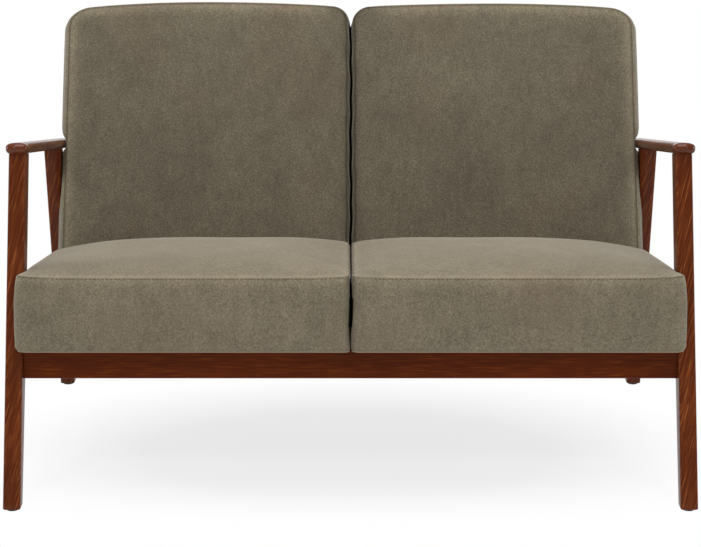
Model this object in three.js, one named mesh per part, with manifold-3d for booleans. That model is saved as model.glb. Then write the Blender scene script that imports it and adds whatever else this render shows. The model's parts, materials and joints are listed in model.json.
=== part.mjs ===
// A two-seat settee with a high back. Two lacquered beech side frames, tied by cross rails,
// carry two upholstered seat units and two upholstered back units.
// Millimetres, +Z up, the front faces -Y. Lengths in side view are measured from the front feet.
import * as THREE from "three";
import { mergeVertices } from "three/addons/utils/BufferGeometryUtils.js";
import Module from "manifold-3d";

const wasm = await Module();
wasm.setup();

// Clearances
const gap = 0.3; // left between pieces that are cut to each other
const overrun = 20; // how far a cutting tool passes the piece it cuts

// Side frames
const footHalfWidth = 632.4; // from the middle of the settee to the outer face of a foot
const legLean = THREE.MathUtils.degToRad(1.43); // the side frames close in towards the top
const legEdgeRadius = 4;
const legFootChamfer = 2.5;
const glideHeight = 3;
const glideRadius = 11;

const frontLegRake = THREE.MathUtils.degToRad(13.06);
const frontLegFootWidth = 32;
const frontLegTopWidth = 29.5;
const frontLegFootDepth = 30;
const frontLegTopDepth = 50;
const frontLegShoulder = 225; // above this height, where the rails join, the leg tapers less
const frontLegShoulderDepth = 43;

const rearLegRake = THREE.MathUtils.degToRad(17.17);
const rearLegSetback = 222.8; // from the rear of the seat units to the front edge of the foot
const rearLegWidth = 30;
const rearLegFootDepth = 29;
const rearLegTopDepth = 58;

// Armrests
const armTopHeight = 652.8; // ridge of the armrest above the front edge of the front leg
const armTilt = THREE.MathUtils.degToRad(10.41);
const armWidth = 40;
const armThickness = 20;
const armNeckWidth = 36;
const armNoseOverhang = 15; // in front of the front leg
const armNoseRounding = 13;
const armNeckPlace = 20; // behind the front edge of the front leg
const armTail = 24; // behind the bolt into the back unit
const armTailRounding = 8;

// Rails under the seats
const seatFront = 35; // the front face of the seat units, behind the front of the feet
const seatBottomHeight = 291; // at the front face
const seatTilt = THREE.MathUtils.degToRad(6.5);
const frontRailSetback = 19.4; // behind the front edge of the legs, at the rail's lower edge
const frontRailHeight = 60; // from the rail's lower edge to the seat units' lower front edge
const frontRailThickness = 22;
const frontRailEdgeRadius = 3;
const sideRailHeight = 52;
const sideRailThickness = 22;
const sideRailSetback = 6; // behind the outer face of the front leg
const rearRailThickness = 36;
const rearRailHeight = 55;
const bearerWidth = 45;
const bearerHeight = 38;

// Seat units, one on each side of the middle
const unitGap = 2.4; // between the two seat units, and between the two back units
const seatSideClearance = 0.8; // to the inner faces of the front legs, at the seams
const seatEarTop = 6; // how far the front corners swell over the legs at the seams
const seatEarMiddle = 12.5; // and at mid-height
const seatSeamHeight = 141; // from the underside to the front seam
const seatCrown = 12;
const seatRearFall = 18.5; // the side by the arm sinks this much towards the rear
const seatFallHeight = 60; // below this height a seat unit keeps its plain form
const seatFallLean = 0.35; // what sinks comes forward by this share, clear of the back unit
const seatHeelDepth = 463; // underside, from front to rear
const seatHeelHeight = 52;
const seatWaistStep = 20; // drawn in above the heel, where the back unit's lower edge comes close
const seatWaistHeight = 62;
const seatTopStep = 2; // drawn in at the seam
const seatCornerRadius = 16;
const seatLowerEdgeRadius = 10;
const seatFrontSwell = 3;
const seatInnerSideSwell = 1.5;
const seatEarRun = 9; // length over which a front corner closes in again beside the leg

// Upholstery common to seat and back units
const coverThickness = 4; // fabric with its wadding
const coverLip = 30; // turned in all round the open side of a cover
const leastPadRadius = 4;
const frameInset = 12.5; // from a unit's face to the wood inside it
const seatRailWidth = 25;
const seatRailHeight = 45;
const strapWidth = 60;
const strapThickness = 2;
const strapCount = 3;
const dustClothThickness = 1.2;

// Back units
const backRecline = THREE.MathUtils.degToRad(19.65);
const backLead = 5.3; // how far the front face lies before the seats' rear, level with their heel
const backSideClearance = 11.1; // from a rear leg to the outer front seam, at the lower edge
const backTaper = Math.atan2(18.5, 1000); // the outer side closes in towards the top
const backLift = 9.2; // from the top of the seats' heel up to the lower front edge
const backLength = 566; // along the recline
const backThickness = 112;
const backSideSwell = 20; // of the outer side, above the armrest and before the rear leg
const backSwellFullness = 0.6; // below 1, the swell rises quickly behind the front seam
const backEarRun = 14; // length over which the swell closes in again before the rear leg
const backInnerSwell = 2;
const backFrontCrown = 12;
const backTopArch = 6;
const backTopRadius = 42;
const backBottomRadius = 14;
const backRearEdgeRadius = 8;
const backFrontEdgeRadius = 6;
const legSqueezeClearance = 0.5;
const armGrooveMargin = 8;
const boardThickness = 12;
const boardTopInset = 32;
const battenWidth = 30;
const battenDepth = 30;
const rearPanelThickness = 3.6;
const bracketThickness = 3;
const bracketWidth = 60;
const bracketDrop = 42;

// Joints in the wood
const sideRailTenonThickness = 8;
const sideRailTenonLength = 12;
const sideRailTenonShoulder = 10;
const armTenonThickness = 12;
const armTenonHeight = 10;
const armTenonShoulder = 9;
const armTenonLength = 28;
const bearerTenonWidth = 25;
const bearerTenonLength = 8;
const bearerTenonShoulder = 8;

// Fasteners
const boltRadius = 3;
const boltHeadRadius = 5;
const boltHeadHeight = 5;
const boltHeadSink = 0.6; // how deep the head lies under the wood's face
const boltSocketRadius = 2.5;
const boltSocketDepth = 3;
const boltBite = 45; // how far a rail bolt enters the end grain
const battenBoltBite = 22;
const boltHoleClearance = 0.4;
const linkNutHeight = 5;

// Counts
const woodCornerPoints = 3;
const padCornerPoints = 4;
const boltSides = 12;

// Finishes
const finishes = {
  lacqueredBeech: new THREE.MeshStandardMaterial({ color: 0x5c2c16, roughness: 0.35, metalness: 0 }),
  hiddenBeech: new THREE.MeshStandardMaterial({ color: 0xc9a77c, roughness: 0.7, metalness: 0 }),
  plywood: new THREE.MeshStandardMaterial({ color: 0xbf9a6b, roughness: 0.75, metalness: 0 }),
  velour: new THREE.MeshStandardMaterial({ color: 0x7d735f, roughness: 0.95, metalness: 0 }),
  foam: new THREE.MeshStandardMaterial({ color: 0xe9e2c4, roughness: 1, metalness: 0 }),
  webbing: new THREE.MeshStandardMaterial({ color: 0x2e2c2a, roughness: 0.9, metalness: 0 }),
  dustCloth: new THREE.MeshStandardMaterial({ color: 0x1d1d1e, roughness: 1, metalness: 0 }),
  steel: new THREE.MeshStandardMaterial({ color: 0x9a9c9f, roughness: 0.35, metalness: 1 }),
  glide: new THREE.MeshStandardMaterial({ color: 0x222222, roughness: 0.8, metalness: 0 }),
};

const settee = new THREE.Group();

// Solids from rings

function signedVolume(geometry) {
  const place = geometry.attributes.position;
  const [a, b, c] = [new THREE.Vector3(), new THREE.Vector3(), new THREE.Vector3()];
  let sum = 0;
  for (let i = 0; i < geometry.index.count; i += 3) {
    a.fromBufferAttribute(place, geometry.index.getX(i));
    b.fromBufferAttribute(place, geometry.index.getX(i + 1));
    c.fromBufferAttribute(place, geometry.index.getX(i + 2));
    sum += a.dot(b.cross(c));
  }
  return sum;
}

function facingOut(geometry) {
  if (signedVolume(geometry) < 0) {
    const index = geometry.index.array;
    for (let i = 0; i < index.length; i += 3) [index[i], index[i + 1]] = [index[i + 1], index[i]];
  }
  return geometry;
}

// A closed solid skinned over rings of equally many points; each end closes on a single point.
function skin(rings) {
  const total = (ring) => ring.reduce((sum, p) => sum.add(p), new THREE.Vector3());
  const middle = (ring) => total(ring).divideScalar(ring.length);
  const closed = [[middle(rings[0])], ...rings, [middle(rings.at(-1))]];
  const count = rings[0].length;
  const points = closed.flat();
  const index = [];
  let start = 0;
  for (let r = 0; r + 1 < closed.length; r++) {
    const next = start + closed[r].length;
    for (let i = 0; i < count; i++) {
      const j = (i + 1) % count;
      if (closed[r].length === 1) index.push(start, next + i, next + j);
      else if (closed[r + 1].length === 1) index.push(start + i, next, start + j);
      else index.push(start + i, next + i, next + j, start + i, next + j, start + j);
    }
    start = next;
  }
  const geometry = new THREE.BufferGeometry().setFromPoints(points);
  geometry.setIndex(index);
  return facingOut(geometry);
}

// Point [y, z] in side view where a leaning face meets a sloping level.
function meet(face, level) {
  const settle = 12; // repeats that bring the point onto both lines
  let y = face(level(0));
  for (let i = 0; i < settle; i++) y = face(level(y));
  return [y, level(y)];
}

// A profile drawn in side view as [y, z] points, carried from x0 to x1.
function sidePrism(profile, x0, x1) {
  const shape = new THREE.Shape(profile.map(([y, z]) => new THREE.Vector2(y, z)));
  const geometry = new THREE.ExtrudeGeometry(shape, { depth: x1 - x0, bevelEnabled: false });
  const toSideView = new THREE.Matrix4().makeBasis(
    new THREE.Vector3(0, 1, 0),
    new THREE.Vector3(0, 0, 1),
    new THREE.Vector3(1, 0, 0),
  );
  return geometry.applyMatrix4(toSideView).translate(x0, 0, 0);
}

function block(x0, x1, y0, y1, z0, z1) {
  const geometry = new THREE.BoxGeometry(x1 - x0, y1 - y0, z1 - z0);
  return geometry.translate((x0 + x1) / 2, (y0 + y1) / 2, (z0 + z1) / 2);
}

// Cutting and joining

function solidOf(geometry) {
  const bare = new THREE.BufferGeometry();
  bare.setAttribute("position", geometry.attributes.position.clone());
  if (geometry.index) bare.setIndex(geometry.index.clone());
  const merged = mergeVertices(bare);
  const vertProperties = new Float32Array(merged.attributes.position.array);
  return new wasm.Manifold(
    new wasm.Mesh({ numProp: 3, vertProperties, triVerts: new Uint32Array(merged.index.array) }),
  );
}

function geometryOf(solid) {
  const mesh = solid.getMesh();
  const geometry = new THREE.BufferGeometry();
  geometry.setAttribute("position", new THREE.BufferAttribute(mesh.vertProperties, mesh.numProp));
  geometry.setIndex(new THREE.BufferAttribute(mesh.triVerts, 1));
  return geometry;
}

function cut(geometry, ...tools) {
  return geometryOf(tools.reduce((solid, tool) => solid.subtract(solidOf(tool)), solidOf(geometry)));
}

function join(geometry, other) {
  return geometryOf(solidOf(geometry).add(solidOf(other)));
}

function mirrored(geometry) {
  const copy = geometry.clone().applyMatrix4(new THREE.Matrix4().makeScale(-1, 1, 1));
  if (!copy.index) copy.setIndex(Array.from({ length: copy.attributes.position.count }, (_, i) => i));
  return facingOut(copy);
}

// Adding pieces

function add(name, geometry, finish, parent = settee) {
  geometry.computeVertexNormals();
  const mesh = new THREE.Mesh(geometry, finishes[finish].clone());
  mesh.name = name;
  parent.add(mesh);
  return mesh;
}

function addPair(name, geometry, finish, parent = settee) {
  add(`right_${name}`, geometry, finish, parent);
  add(`left_${name}`, mirrored(geometry), finish, parent);
}

// Rounded rectangle as corner arcs, counter-clockwise from the low corner, with extra points
// between the corners at the given shares of each side.
function roundedOutline(low, high, radii, sideShares, cornerPoints) {
  const corners = [
    [low.x, low.y, radii[0]],
    [high.x, low.y, radii[1]],
    [high.x, high.y, radii[2]],
    [low.x, high.y, radii[3]],
  ];
  const arcs = corners.map(([x, y, r], k) => {
    const cx = x + (x === low.x ? r : -r);
    const cy = y + (y === low.y ? r : -r);
    return Array.from({ length: cornerPoints }, (_, i) => {
      const turn = Math.PI + ((k + i / (cornerPoints - 1)) * Math.PI) / 2;
      return new THREE.Vector2(cx + r * Math.cos(turn), cy + r * Math.sin(turn));
    });
  });
  return arcs.flatMap((arc, k) => {
    const from = arc.at(-1);
    const to = arcs[(k + 1) % arcs.length][0];
    return [...arc, ...sideShares[k].map((share) => from.clone().lerp(to, share))];
  });
}

// Side frame lines: each gives the place of a face at a height

const { lerp, clamp, smoothstep } = THREE.MathUtils;
const legLeanSlope = Math.tan(legLean);
const outerFace = (z) => footHalfWidth - legLeanSlope * z;
const railLevel = seatBottomHeight - frontRailHeight / 2;
const seatSin = Math.sin(seatTilt);
const seatCos = Math.cos(seatTilt);
const seatHeelRear = seatFront + seatHeelDepth * seatCos;

const frontLeg = {
  shoulders: [frontLegShoulder],
  front: (z) => Math.tan(frontLegRake) * z,
  depth: (z) => {
    const above = (z - frontLegShoulder) / (armTopHeight - frontLegShoulder);
    return above > 0
      ? lerp(frontLegShoulderDepth, frontLegTopDepth, above)
      : lerp(frontLegFootDepth, frontLegShoulderDepth, z / frontLegShoulder);
  },
  width: (z) => lerp(frontLegFootWidth, frontLegTopWidth, z / armTopHeight),
};

const rearLeg = {
  shoulders: [],
  front: (z) => seatHeelRear + rearLegSetback - Math.tan(rearLegRake) * z,
  depth: (z) => lerp(rearLegFootDepth, rearLegTopDepth, z / armTopHeight),
  width: () => rearLegWidth,
};

const innerFace = (leg, z) => outerFace(z) - leg.width(z);

// Armrest: a straight bar that falls to the rear, flat underneath, crowned on top
const armStart = new THREE.Vector3(
  innerFace(frontLeg, armTopHeight) + frontLegTopWidth / 2,
  frontLeg.front(armTopHeight) - armThickness * Math.sin(armTilt),
  armTopHeight - armThickness * Math.cos(armTilt),
);
const armSlope = Math.tan(armTilt);
const armUnderside = (y) => armStart.z - armSlope * (y - armStart.y);
const armInnerFace = armStart.x - armWidth / 2;
const alongArm = (y) => (y - armStart.y) / Math.cos(armTilt);

// Legs

// Ring of a leg at a height; a ceiling bends the ring up to a sloping face.
function legRing(leg, height, inset, ceiling) {
  const size = (z) => new THREE.Vector2(leg.width(z) - inset, leg.depth(z) - inset);
  const radii = Array(4).fill(legEdgeRadius);
  const low = new THREE.Vector2(inset, inset);
  const outline = roundedOutline(low, size(height), radii, [[], [], [], []], woodCornerPoints);
  return outline.map((p) => {
    const [, z] = ceiling ? meet((level) => leg.front(level) + p.y, ceiling) : [0, height];
    return new THREE.Vector3(outerFace(z) - p.x, leg.front(z) + p.y, z);
  });
}

function legGeometry(leg) {
  const foot = glideHeight + gap;
  const ceiling = (y) => armUnderside(y) - gap;
  const [, top] = meet(leg.front, ceiling);
  return skin([
    legRing(leg, foot, legFootChamfer),
    legRing(leg, foot + legFootChamfer, 0),
    ...leg.shoulders.map((height) => legRing(leg, height, 0)),
    legRing(leg, top, 0, ceiling),
  ]);
}

const armPlace = new THREE.Matrix4().makeRotationX(-armTilt).setPosition(armStart);

// Tenon from the top of a leg into the armrest, grown all round for its mortise
function armTenon(leg, growth) {
  const [legFront] = meet(leg.front, armUnderside);
  const start = alongArm(legFront) + armTenonShoulder;
  const half = armTenonThickness / 2 + growth;
  const [front, rear] = [start - growth, start + armTenonLength + growth];
  const tenon = block(-half, half, front, rear, -armTenonHeight, armTenonHeight + growth);
  return tenon.applyMatrix4(armPlace);
}

// A bolt lies along X. Its place is where the head bears, with the head sunk in a counterbore.
function revolved(profile) {
  const points = profile.map(([r, h]) => new THREE.Vector2(r, h));
  return new THREE.LatheGeometry(points, boltSides).rotateZ(-Math.PI / 2);
}

function boltGeometry(place, shankEnd) {
  const length = place.x - shankEnd;
  const profile = [
    [0, 0],
    [boltRadius, 0],
    [boltRadius, length],
    [boltHeadRadius, length],
    [boltHeadRadius, length + boltHeadHeight],
    [boltSocketRadius, length + boltHeadHeight],
    [boltSocketRadius, length + boltHeadHeight - boltSocketDepth],
    [0, length + boltHeadHeight - boltSocketDepth],
  ];
  return revolved(profile).translate(shankEnd, place.y, place.z);
}

function boltHole(place, shankEnd) {
  const floor = place.x - gap - shankEnd;
  const [shank, head] = [boltRadius, boltHeadRadius].map((radius) => radius + boltHoleClearance);
  const profile = [
    [0, -gap],
    [shank, -gap],
    [shank, floor],
    [head, floor],
    [head, floor + overrun],
    [0, floor + overrun],
  ];
  return revolved(profile).translate(shankEnd, place.y, place.z);
}

// Where a bolt head bears under an outer face
const bearing = (outer, y, z) => new THREE.Vector3(outer - boltHeadSink - boltHeadHeight, y, z);
const legBearing = (y, z) => bearing(outerFace(z + boltHeadRadius), y, z);

// Frames of reference for the tilted units
const seatPlane = (y) => seatBottomHeight - Math.tan(seatTilt) * (y - seatFront);
const backSin = Math.sin(backRecline);
const backCos = Math.cos(backRecline);
const seatHeelTop = seatBottomHeight - seatHeelDepth * seatSin + seatHeelHeight * seatCos;
const backFoot = seatHeelRear - backLead - seatHeelTop * Math.tan(backRecline);
const backBottom = (seatHeelTop + backLift) / backCos;
const backTop = backBottom + backLength;
const backPoint = (along, into) => [
  backFoot + along * backSin + into * backCos,
  along * backCos - into * backSin,
];

// Rails

const railTop = (y) => seatPlane(y) - gap;
const frontRailBottom = seatBottomHeight - frontRailHeight;
const frontRailFront = frontLeg.front(frontRailBottom) + frontRailSetback;
const frontRailRear = frontRailFront + frontRailThickness;
const rearRailRear = seatHeelRear + seatHeelHeight * seatSin + gap;
const rearRailFront = rearRailRear - rearRailThickness;
const rearRailBottom = railTop(rearRailRear) - rearRailHeight;
const sideRailOuter = outerFace(railLevel) - sideRailSetback;
const sideRailInner = sideRailOuter - sideRailThickness;

const frontRailBoltY = (frontRailFront + frontRailRear) / 2;
const frontRailBolt = legBearing(frontRailBoltY, (frontRailBottom + railTop(frontRailBoltY)) / 2);
const frontRailBoltEnd = innerFace(frontLeg, frontRailBolt.z) - boltBite;
const rearRailBoltY = (rearRailFront + rearRailRear) / 2;
const rearRailBoltZ = (rearRailBottom + railTop(rearRailBoltY)) / 2;
const rearRailBolt = bearing(sideRailOuter, rearRailBoltY, rearRailBoltZ);
const rearRailBoltEnd = sideRailInner - boltBite;

function boltHoleBothSides(place, shankEnd) {
  const hole = boltHole(place, shankEnd);
  return [hole, mirrored(hole)];
}

function frontRailGeometry() {
  const r = frontRailEdgeRadius;
  const edge = (cy, turn) => {
    return Array.from({ length: woodCornerPoints }, (_, i) => {
      const angle = turn + (i / (woodCornerPoints - 1)) * (Math.PI / 2);
      return [cy + r * Math.cos(angle), frontRailBottom + r + r * Math.sin(angle)];
    });
  };
  const profile = [
    ...edge(frontRailFront + r, Math.PI),
    ...edge(frontRailRear - r, Math.PI * 1.5),
    [frontRailRear, railTop(frontRailRear)],
    [frontRailFront, railTop(frontRailFront)],
  ];
  const rail = sidePrism(profile, -1, 1);
  const place = rail.attributes.position;
  for (let i = 0; i < place.count; i++) {
    place.setX(i, place.getX(i) * (innerFace(frontLeg, place.getZ(i)) - gap));
  }
  return cut(rail, ...boltHoleBothSides(frontRailBolt, frontRailBoltEnd), bearerTenons(gap));
}

function rearRailGeometry() {
  const profile = [
    [rearRailFront, rearRailBottom],
    [rearRailRear, rearRailBottom],
    [rearRailRear, railTop(rearRailRear)],
    [rearRailFront, railTop(rearRailFront)],
  ];
  const halfLength = sideRailInner - gap;
  const rail = sidePrism(profile, -halfLength, halfLength);
  return cut(rail, ...boltHoleBothSides(rearRailBolt, rearRailBoltEnd), bearerTenons(gap));
}

// The side rail runs under the seat plane from the front leg to the rear leg.
function sideRailProfile(reach, shoulder) {
  const before = (z) => frontLeg.front(z) + frontLeg.depth(z) + gap - reach;
  const behind = (z) => rearLeg.front(z) - gap + reach;
  const lower = (y) => railTop(y) - sideRailHeight + shoulder;
  const upper = (y) => railTop(y) - shoulder;
  return [meet(before, lower), meet(behind, lower), meet(behind, upper), meet(before, upper)];
}

// Both tenons of a side rail in one length, grown all round for their mortises
function sideRailTenons(growth) {
  const profile = sideRailProfile(sideRailTenonLength + growth, sideRailTenonShoulder - growth);
  const middle = (sideRailInner + sideRailOuter) / 2;
  const half = sideRailTenonThickness / 2 + growth;
  return sidePrism(profile, middle - half, middle + half);
}

function sideRailGeometry() {
  const rail = sidePrism(sideRailProfile(0, 0), sideRailInner, sideRailOuter);
  return cut(join(rail, sideRailTenons(0)), boltHole(rearRailBolt, rearRailBoltEnd));
}

function bearerProfile(reach, shoulder) {
  const front = frontRailRear + gap - reach;
  const rear = rearRailFront - gap + reach;
  return [
    [front, railTop(front) - bearerHeight + shoulder],
    [rear, railTop(rear) - bearerHeight + shoulder],
    [rear, railTop(rear) - shoulder],
    [front, railTop(front) - shoulder],
  ];
}

function bearerTenons(growth) {
  const profile = bearerProfile(bearerTenonLength + growth, bearerTenonShoulder - growth);
  const half = bearerTenonWidth / 2 + growth;
  return sidePrism(profile, -half, half);
}

function bearerGeometry() {
  return join(sidePrism(bearerProfile(0, 0), -bearerWidth / 2, bearerWidth / 2), bearerTenons(0));
}

// Armrest

function armGeometry() {
  const sectionSteps = 16;
  const noseSteps = 4;
  const tip = -armNoseOverhang;
  const stations = [];
  for (let i = 1; i <= noseSteps; i++) {
    const turn = (i / noseSteps) * (Math.PI / 2);
    stations.push([tip + armNoseRounding * (1 - Math.cos(turn)), armWidth, Math.sin(turn)]);
  }
  const rear = alongArm(armBolt.y) + armTail;
  stations.push([armNeckPlace, armNeckWidth, 1], [rear - armTailRounding, armWidth, 1]);
  for (let i = noseSteps - 1; i >= 1; i--) {
    const turn = (i / noseSteps) * (Math.PI / 2);
    stations.push([rear - armTailRounding * (1 - Math.cos(turn)), armWidth, Math.sin(turn)]);
  }
  const sideRoundness = 0.8; // powers of the section's sine and cosine
  const bellyFlatness = 1.25;
  const rings = stations.map(([along, width, girth]) =>
    Array.from({ length: sectionSteps }, (_, i) => {
      const turn = (i / sectionSteps) * Math.PI * 2;
      const across = Math.sign(Math.cos(turn)) * Math.abs(Math.cos(turn)) ** sideRoundness;
      const rise = Math.sign(Math.sin(turn)) * Math.abs(Math.sin(turn)) ** sideRoundness;
      const flat = Math.max(-1, rise < 0 ? rise * bellyFlatness : rise);
      const middle = armThickness / 2;
      return new THREE.Vector3((across * girth * width) / 2, along, middle + flat * girth * middle);
    }),
  );
  return skin(rings);
}

// Upholstered pads are skinned from the middle of the open face, over the edge and the sides,
// to the middle of the crowned face. A level is [share towards the middle, extra inset, depth].
function padRings(unit, levels, inset) {
  return levels.map(([share, drawIn, depth]) => {
    const ring = unit.outline(depth, inset + drawIn);
    const middle = ring.reduce((sum, p) => sum.add(p), new THREE.Vector2()).divideScalar(ring.length);
    return ring.map((p) => unit.point(p.clone().lerp(middle, share), depth));
  });
}

const padGeometry = (unit, inset) => skin(padRings(unit, unit.levels(inset), inset));

// A cover is a pad's outside and its inside, joined round the mouth in the open face.
function coverGeometry(unit) {
  const layer = (inset) => {
    const mouth = [0, coverLip - inset, unit.openFace(inset)];
    return padRings(unit, [mouth, ...unit.levels(inset).slice(1)], inset);
  };
  return skin([...layer(0).reverse(), ...layer(coverThickness)]);
}

// A thin panel that fills a cover's mouth between two depths
function mouthPanelGeometry(unit, depths) {
  return skin(padRings(unit, depths.map((depth) => [0, 0, depth]), coverLip + gap));
}

// Rounded edge between a flat face and the sides, as levels outwards from the face
function edgeLevels(radius, face, direction) {
  const steps = 2;
  return Array.from({ length: steps + 1 }, (_, i) => {
    const turn = (i / steps) * (Math.PI / 2);
    return [0, radius * (1 - Math.sin(turn)), face + direction * radius * (1 - Math.cos(turn))];
  });
}

const insetRadius = (radius, inset) => Math.max(radius - inset, leastPadRadius);

// Shares of the way from a pad's seam to its middle, with the share of the crown reached there
const crownShares = [
  [0.07, 0.5],
  [0.25, 0.85],
  [0.6, 1],
];
const crownLevels = (seam, crown) => crownShares.map(([share, rise]) => [share, 0, seam + crown * rise]);
const openFaceShare = 0.6; // where the flat face has a ring between its edge and its middle
const evenShares = [1 / 5, 1 / 2, 4 / 5]; // extra points along a seat unit's front and rear
const sideSwellPower = 4; // gathers a side's swell towards the outside of the unit

// Seat unit, in its own tilted frame: x across, y to the rear, z up from the underside

const seatHalfWidth = innerFace(frontLeg, seatBottomHeight + seatSeamHeight) - seatSideClearance;

const legFrontInSeat = (height) => {
  const z = seatBottomHeight + height;
  return (frontLeg.front(z) - seatFront) * seatCos - height * seatSin;
};

function seatRear(height) {
  if (height <= seatHeelHeight) return seatHeelDepth;
  const share = (height - seatWaistHeight) / (seatSeamHeight - seatWaistHeight);
  return seatHeelDepth - lerp(seatWaistStep, seatTopStep, Math.max(0, share));
}

function seatOutline(height, inset) {
  const share = clamp(height / seatSeamHeight, 0, 1);
  const barrel = Math.sin(Math.PI * share);
  const innerSide = unitGap / 2 + seatInnerSideSwell * (1 - barrel) + inset;
  const low = new THREE.Vector2(innerSide, inset);
  const high = new THREE.Vector2(seatHalfWidth - inset, seatRear(height) - inset);
  const radius = insetRadius(seatCornerRadius, inset);
  const legFront = legFrontInSeat(share * seatSeamHeight);
  const sideLength = high.y - low.y - radius * 2;
  const shareAt = (y) => (y - low.y - radius) / sideLength;
  const beside = Math.max(legFront - gap, low.y + radius * 2);
  const before = Math.max(legFront - seatEarRun, low.y + radius * 1.5);
  const outerShares = [shareAt(before), shareAt(beside), 1 / 2];
  const sideShares = [evenShares, outerShares, [1 / 2], evenShares];
  const ring = roundedOutline(low, high, Array(4).fill(radius), sideShares, padCornerPoints);
  if (inset >= coverLip) return ring;
  const ear = lerp(seatEarTop, seatEarMiddle, barrel);
  const middle = (low.x + high.x) / 2;
  return ring.map((p) => {
    const out = (p.x - middle) / (high.x - middle);
    const earShare = p.y < legFront - gap * 2 ? Math.max(0, out) ** sideSwellPower : 0;
    const inFront = p.y < low.y + seatCornerRadius;
    const swell = inFront ? seatFrontSwell * barrel * (1 - Math.min(1, out ** 2)) : 0;
    return new THREE.Vector2(p.x + ear * earShare, p.y - swell);
  });
}

// A seat unit's point once the side by the arm has sunk towards the rear
function seatSettled(p, height) {
  const middle = (unitGap / 2 + seatHalfWidth) / 2;
  const out = clamp((p.x - middle) / (seatHalfWidth - middle), 0, 1);
  const upper = smoothstep(height, seatFallHeight, seatSeamHeight);
  const fall = seatRearFall * out ** 2 * upper * clamp(p.y / seatHeelDepth, 0, 1);
  return new THREE.Vector3(p.x, p.y - fall * seatFallLean, height - fall);
}

const seatUnit = {
  outline: seatOutline,
  point: seatSettled,
  openFace: (inset) => inset,
  levels: (inset) => [
    [openFaceShare, insetRadius(seatLowerEdgeRadius, inset), inset],
    ...edgeLevels(insetRadius(seatLowerEdgeRadius, inset), inset, 1),
    [0, 0, seatHeelHeight],
    [0, 0, seatWaistHeight],
    [0, 0, (seatWaistHeight + seatSeamHeight) / 2],
    [0, 0, seatSeamHeight - inset],
    ...crownLevels(seatSeamHeight - inset, seatCrown),
  ],
};

// The wooden frame in a seat unit
const seatFrame = {
  x0: unitGap / 2 + frameInset,
  x1: seatHalfWidth - frameInset,
  y0: frameInset,
  y1: seatHeelDepth - frameInset,
  z0: coverThickness + gap,
  z1: coverThickness + gap + seatRailHeight,
};
const strapBottom = seatFrame.z1 + gap;
const strapTop = strapBottom + strapThickness;

// A box round the frame and straps, for the hollow under the foam
function seatFrameHollow() {
  const f = seatFrame;
  return block(f.x0 - gap, f.x1 + gap, f.y0 - gap, f.y1 + gap, f.z0 - overrun, strapTop + gap);
}

function addSeat(group) {
  const f = seatFrame;
  const w = seatRailWidth;
  addPair("seat_cover", coverGeometry(seatUnit), "velour", group);
  const foam = padGeometry(seatUnit, coverThickness + gap);
  addPair("seat_foam", cut(foam, seatFrameHollow()), "foam", group);
  addPair("seat_frame_front", block(f.x0, f.x1, f.y0, f.y0 + w, f.z0, f.z1), "hiddenBeech", group);
  addPair("seat_frame_rear", block(f.x0, f.x1, f.y1 - w, f.y1, f.z0, f.z1), "hiddenBeech", group);
  const [y0, y1] = [f.y0 + w + gap, f.y1 - w - gap];
  addPair("seat_frame_inner", block(f.x0, f.x0 + w, y0, y1, f.z0, f.z1), "hiddenBeech", group);
  addPair("seat_frame_outer", block(f.x1 - w, f.x1, y0, y1, f.z0, f.z1), "hiddenBeech", group);
  const pitch = (f.x1 - f.x0) / strapCount;
  for (let i = 0; i < strapCount; i++) {
    const middle = f.x0 + pitch * (i + 1 / 2);
    const [x0, x1] = [middle - strapWidth / 2, middle + strapWidth / 2];
    addPair(`seat_strap_${i + 1}`, block(x0, x1, f.y0, f.y1, strapBottom, strapTop), "webbing", group);
  }
  const clothTop = f.z0 - gap;
  const cloth = mouthPanelGeometry(seatUnit, [clothTop - dustClothThickness, clothTop]);
  addPair("seat_dust_cloth", cloth, "dustCloth", group);
}

// Back unit, in its own reclined frame: x across, y into the back, z along the recline

const backLowerHalfWidth = innerFace(rearLeg, backBottom * backCos) - backSideClearance;
const backOuter = (along) => backLowerHalfWidth - Math.tan(backTaper) * (along - backBottom);

// Place along the recline that is level with the armrest, at a depth into the back
const alongAtArm = (into, lift) => {
  const level = armUnderside(backFoot + into * backCos) + lift + into * backSin;
  return level / (backCos + armSlope * backSin);
};
const armMidLift = armThickness / 2 / Math.cos(armTilt);
const grooveReach = armThickness / 2 + armGrooveMargin;

// Place along the recline where the outer side meets the rear leg's front face, at a depth
function alongAtLeg(into) {
  const rake = Math.tan(rearLegRake);
  const start = rearLeg.front(0) + rake * into * backSin - backFoot - into * backCos;
  return start / (backSin + rake * backCos);
}

// How far out the side may stand at a place along the recline: the face of whatever is beside it
function backSideLimit(along, into, armMiddle) {
  const height = along * backCos - into * backSin;
  if (Math.abs(along - armMiddle) < grooveReach) return armInnerFace - gap;
  const besideLeg = along > alongAtLeg(into) - gap * 2 && along < armMiddle;
  return besideLeg ? outerFace(height) - rearLegWidth - legSqueezeClearance : footHalfWidth;
}

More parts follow.
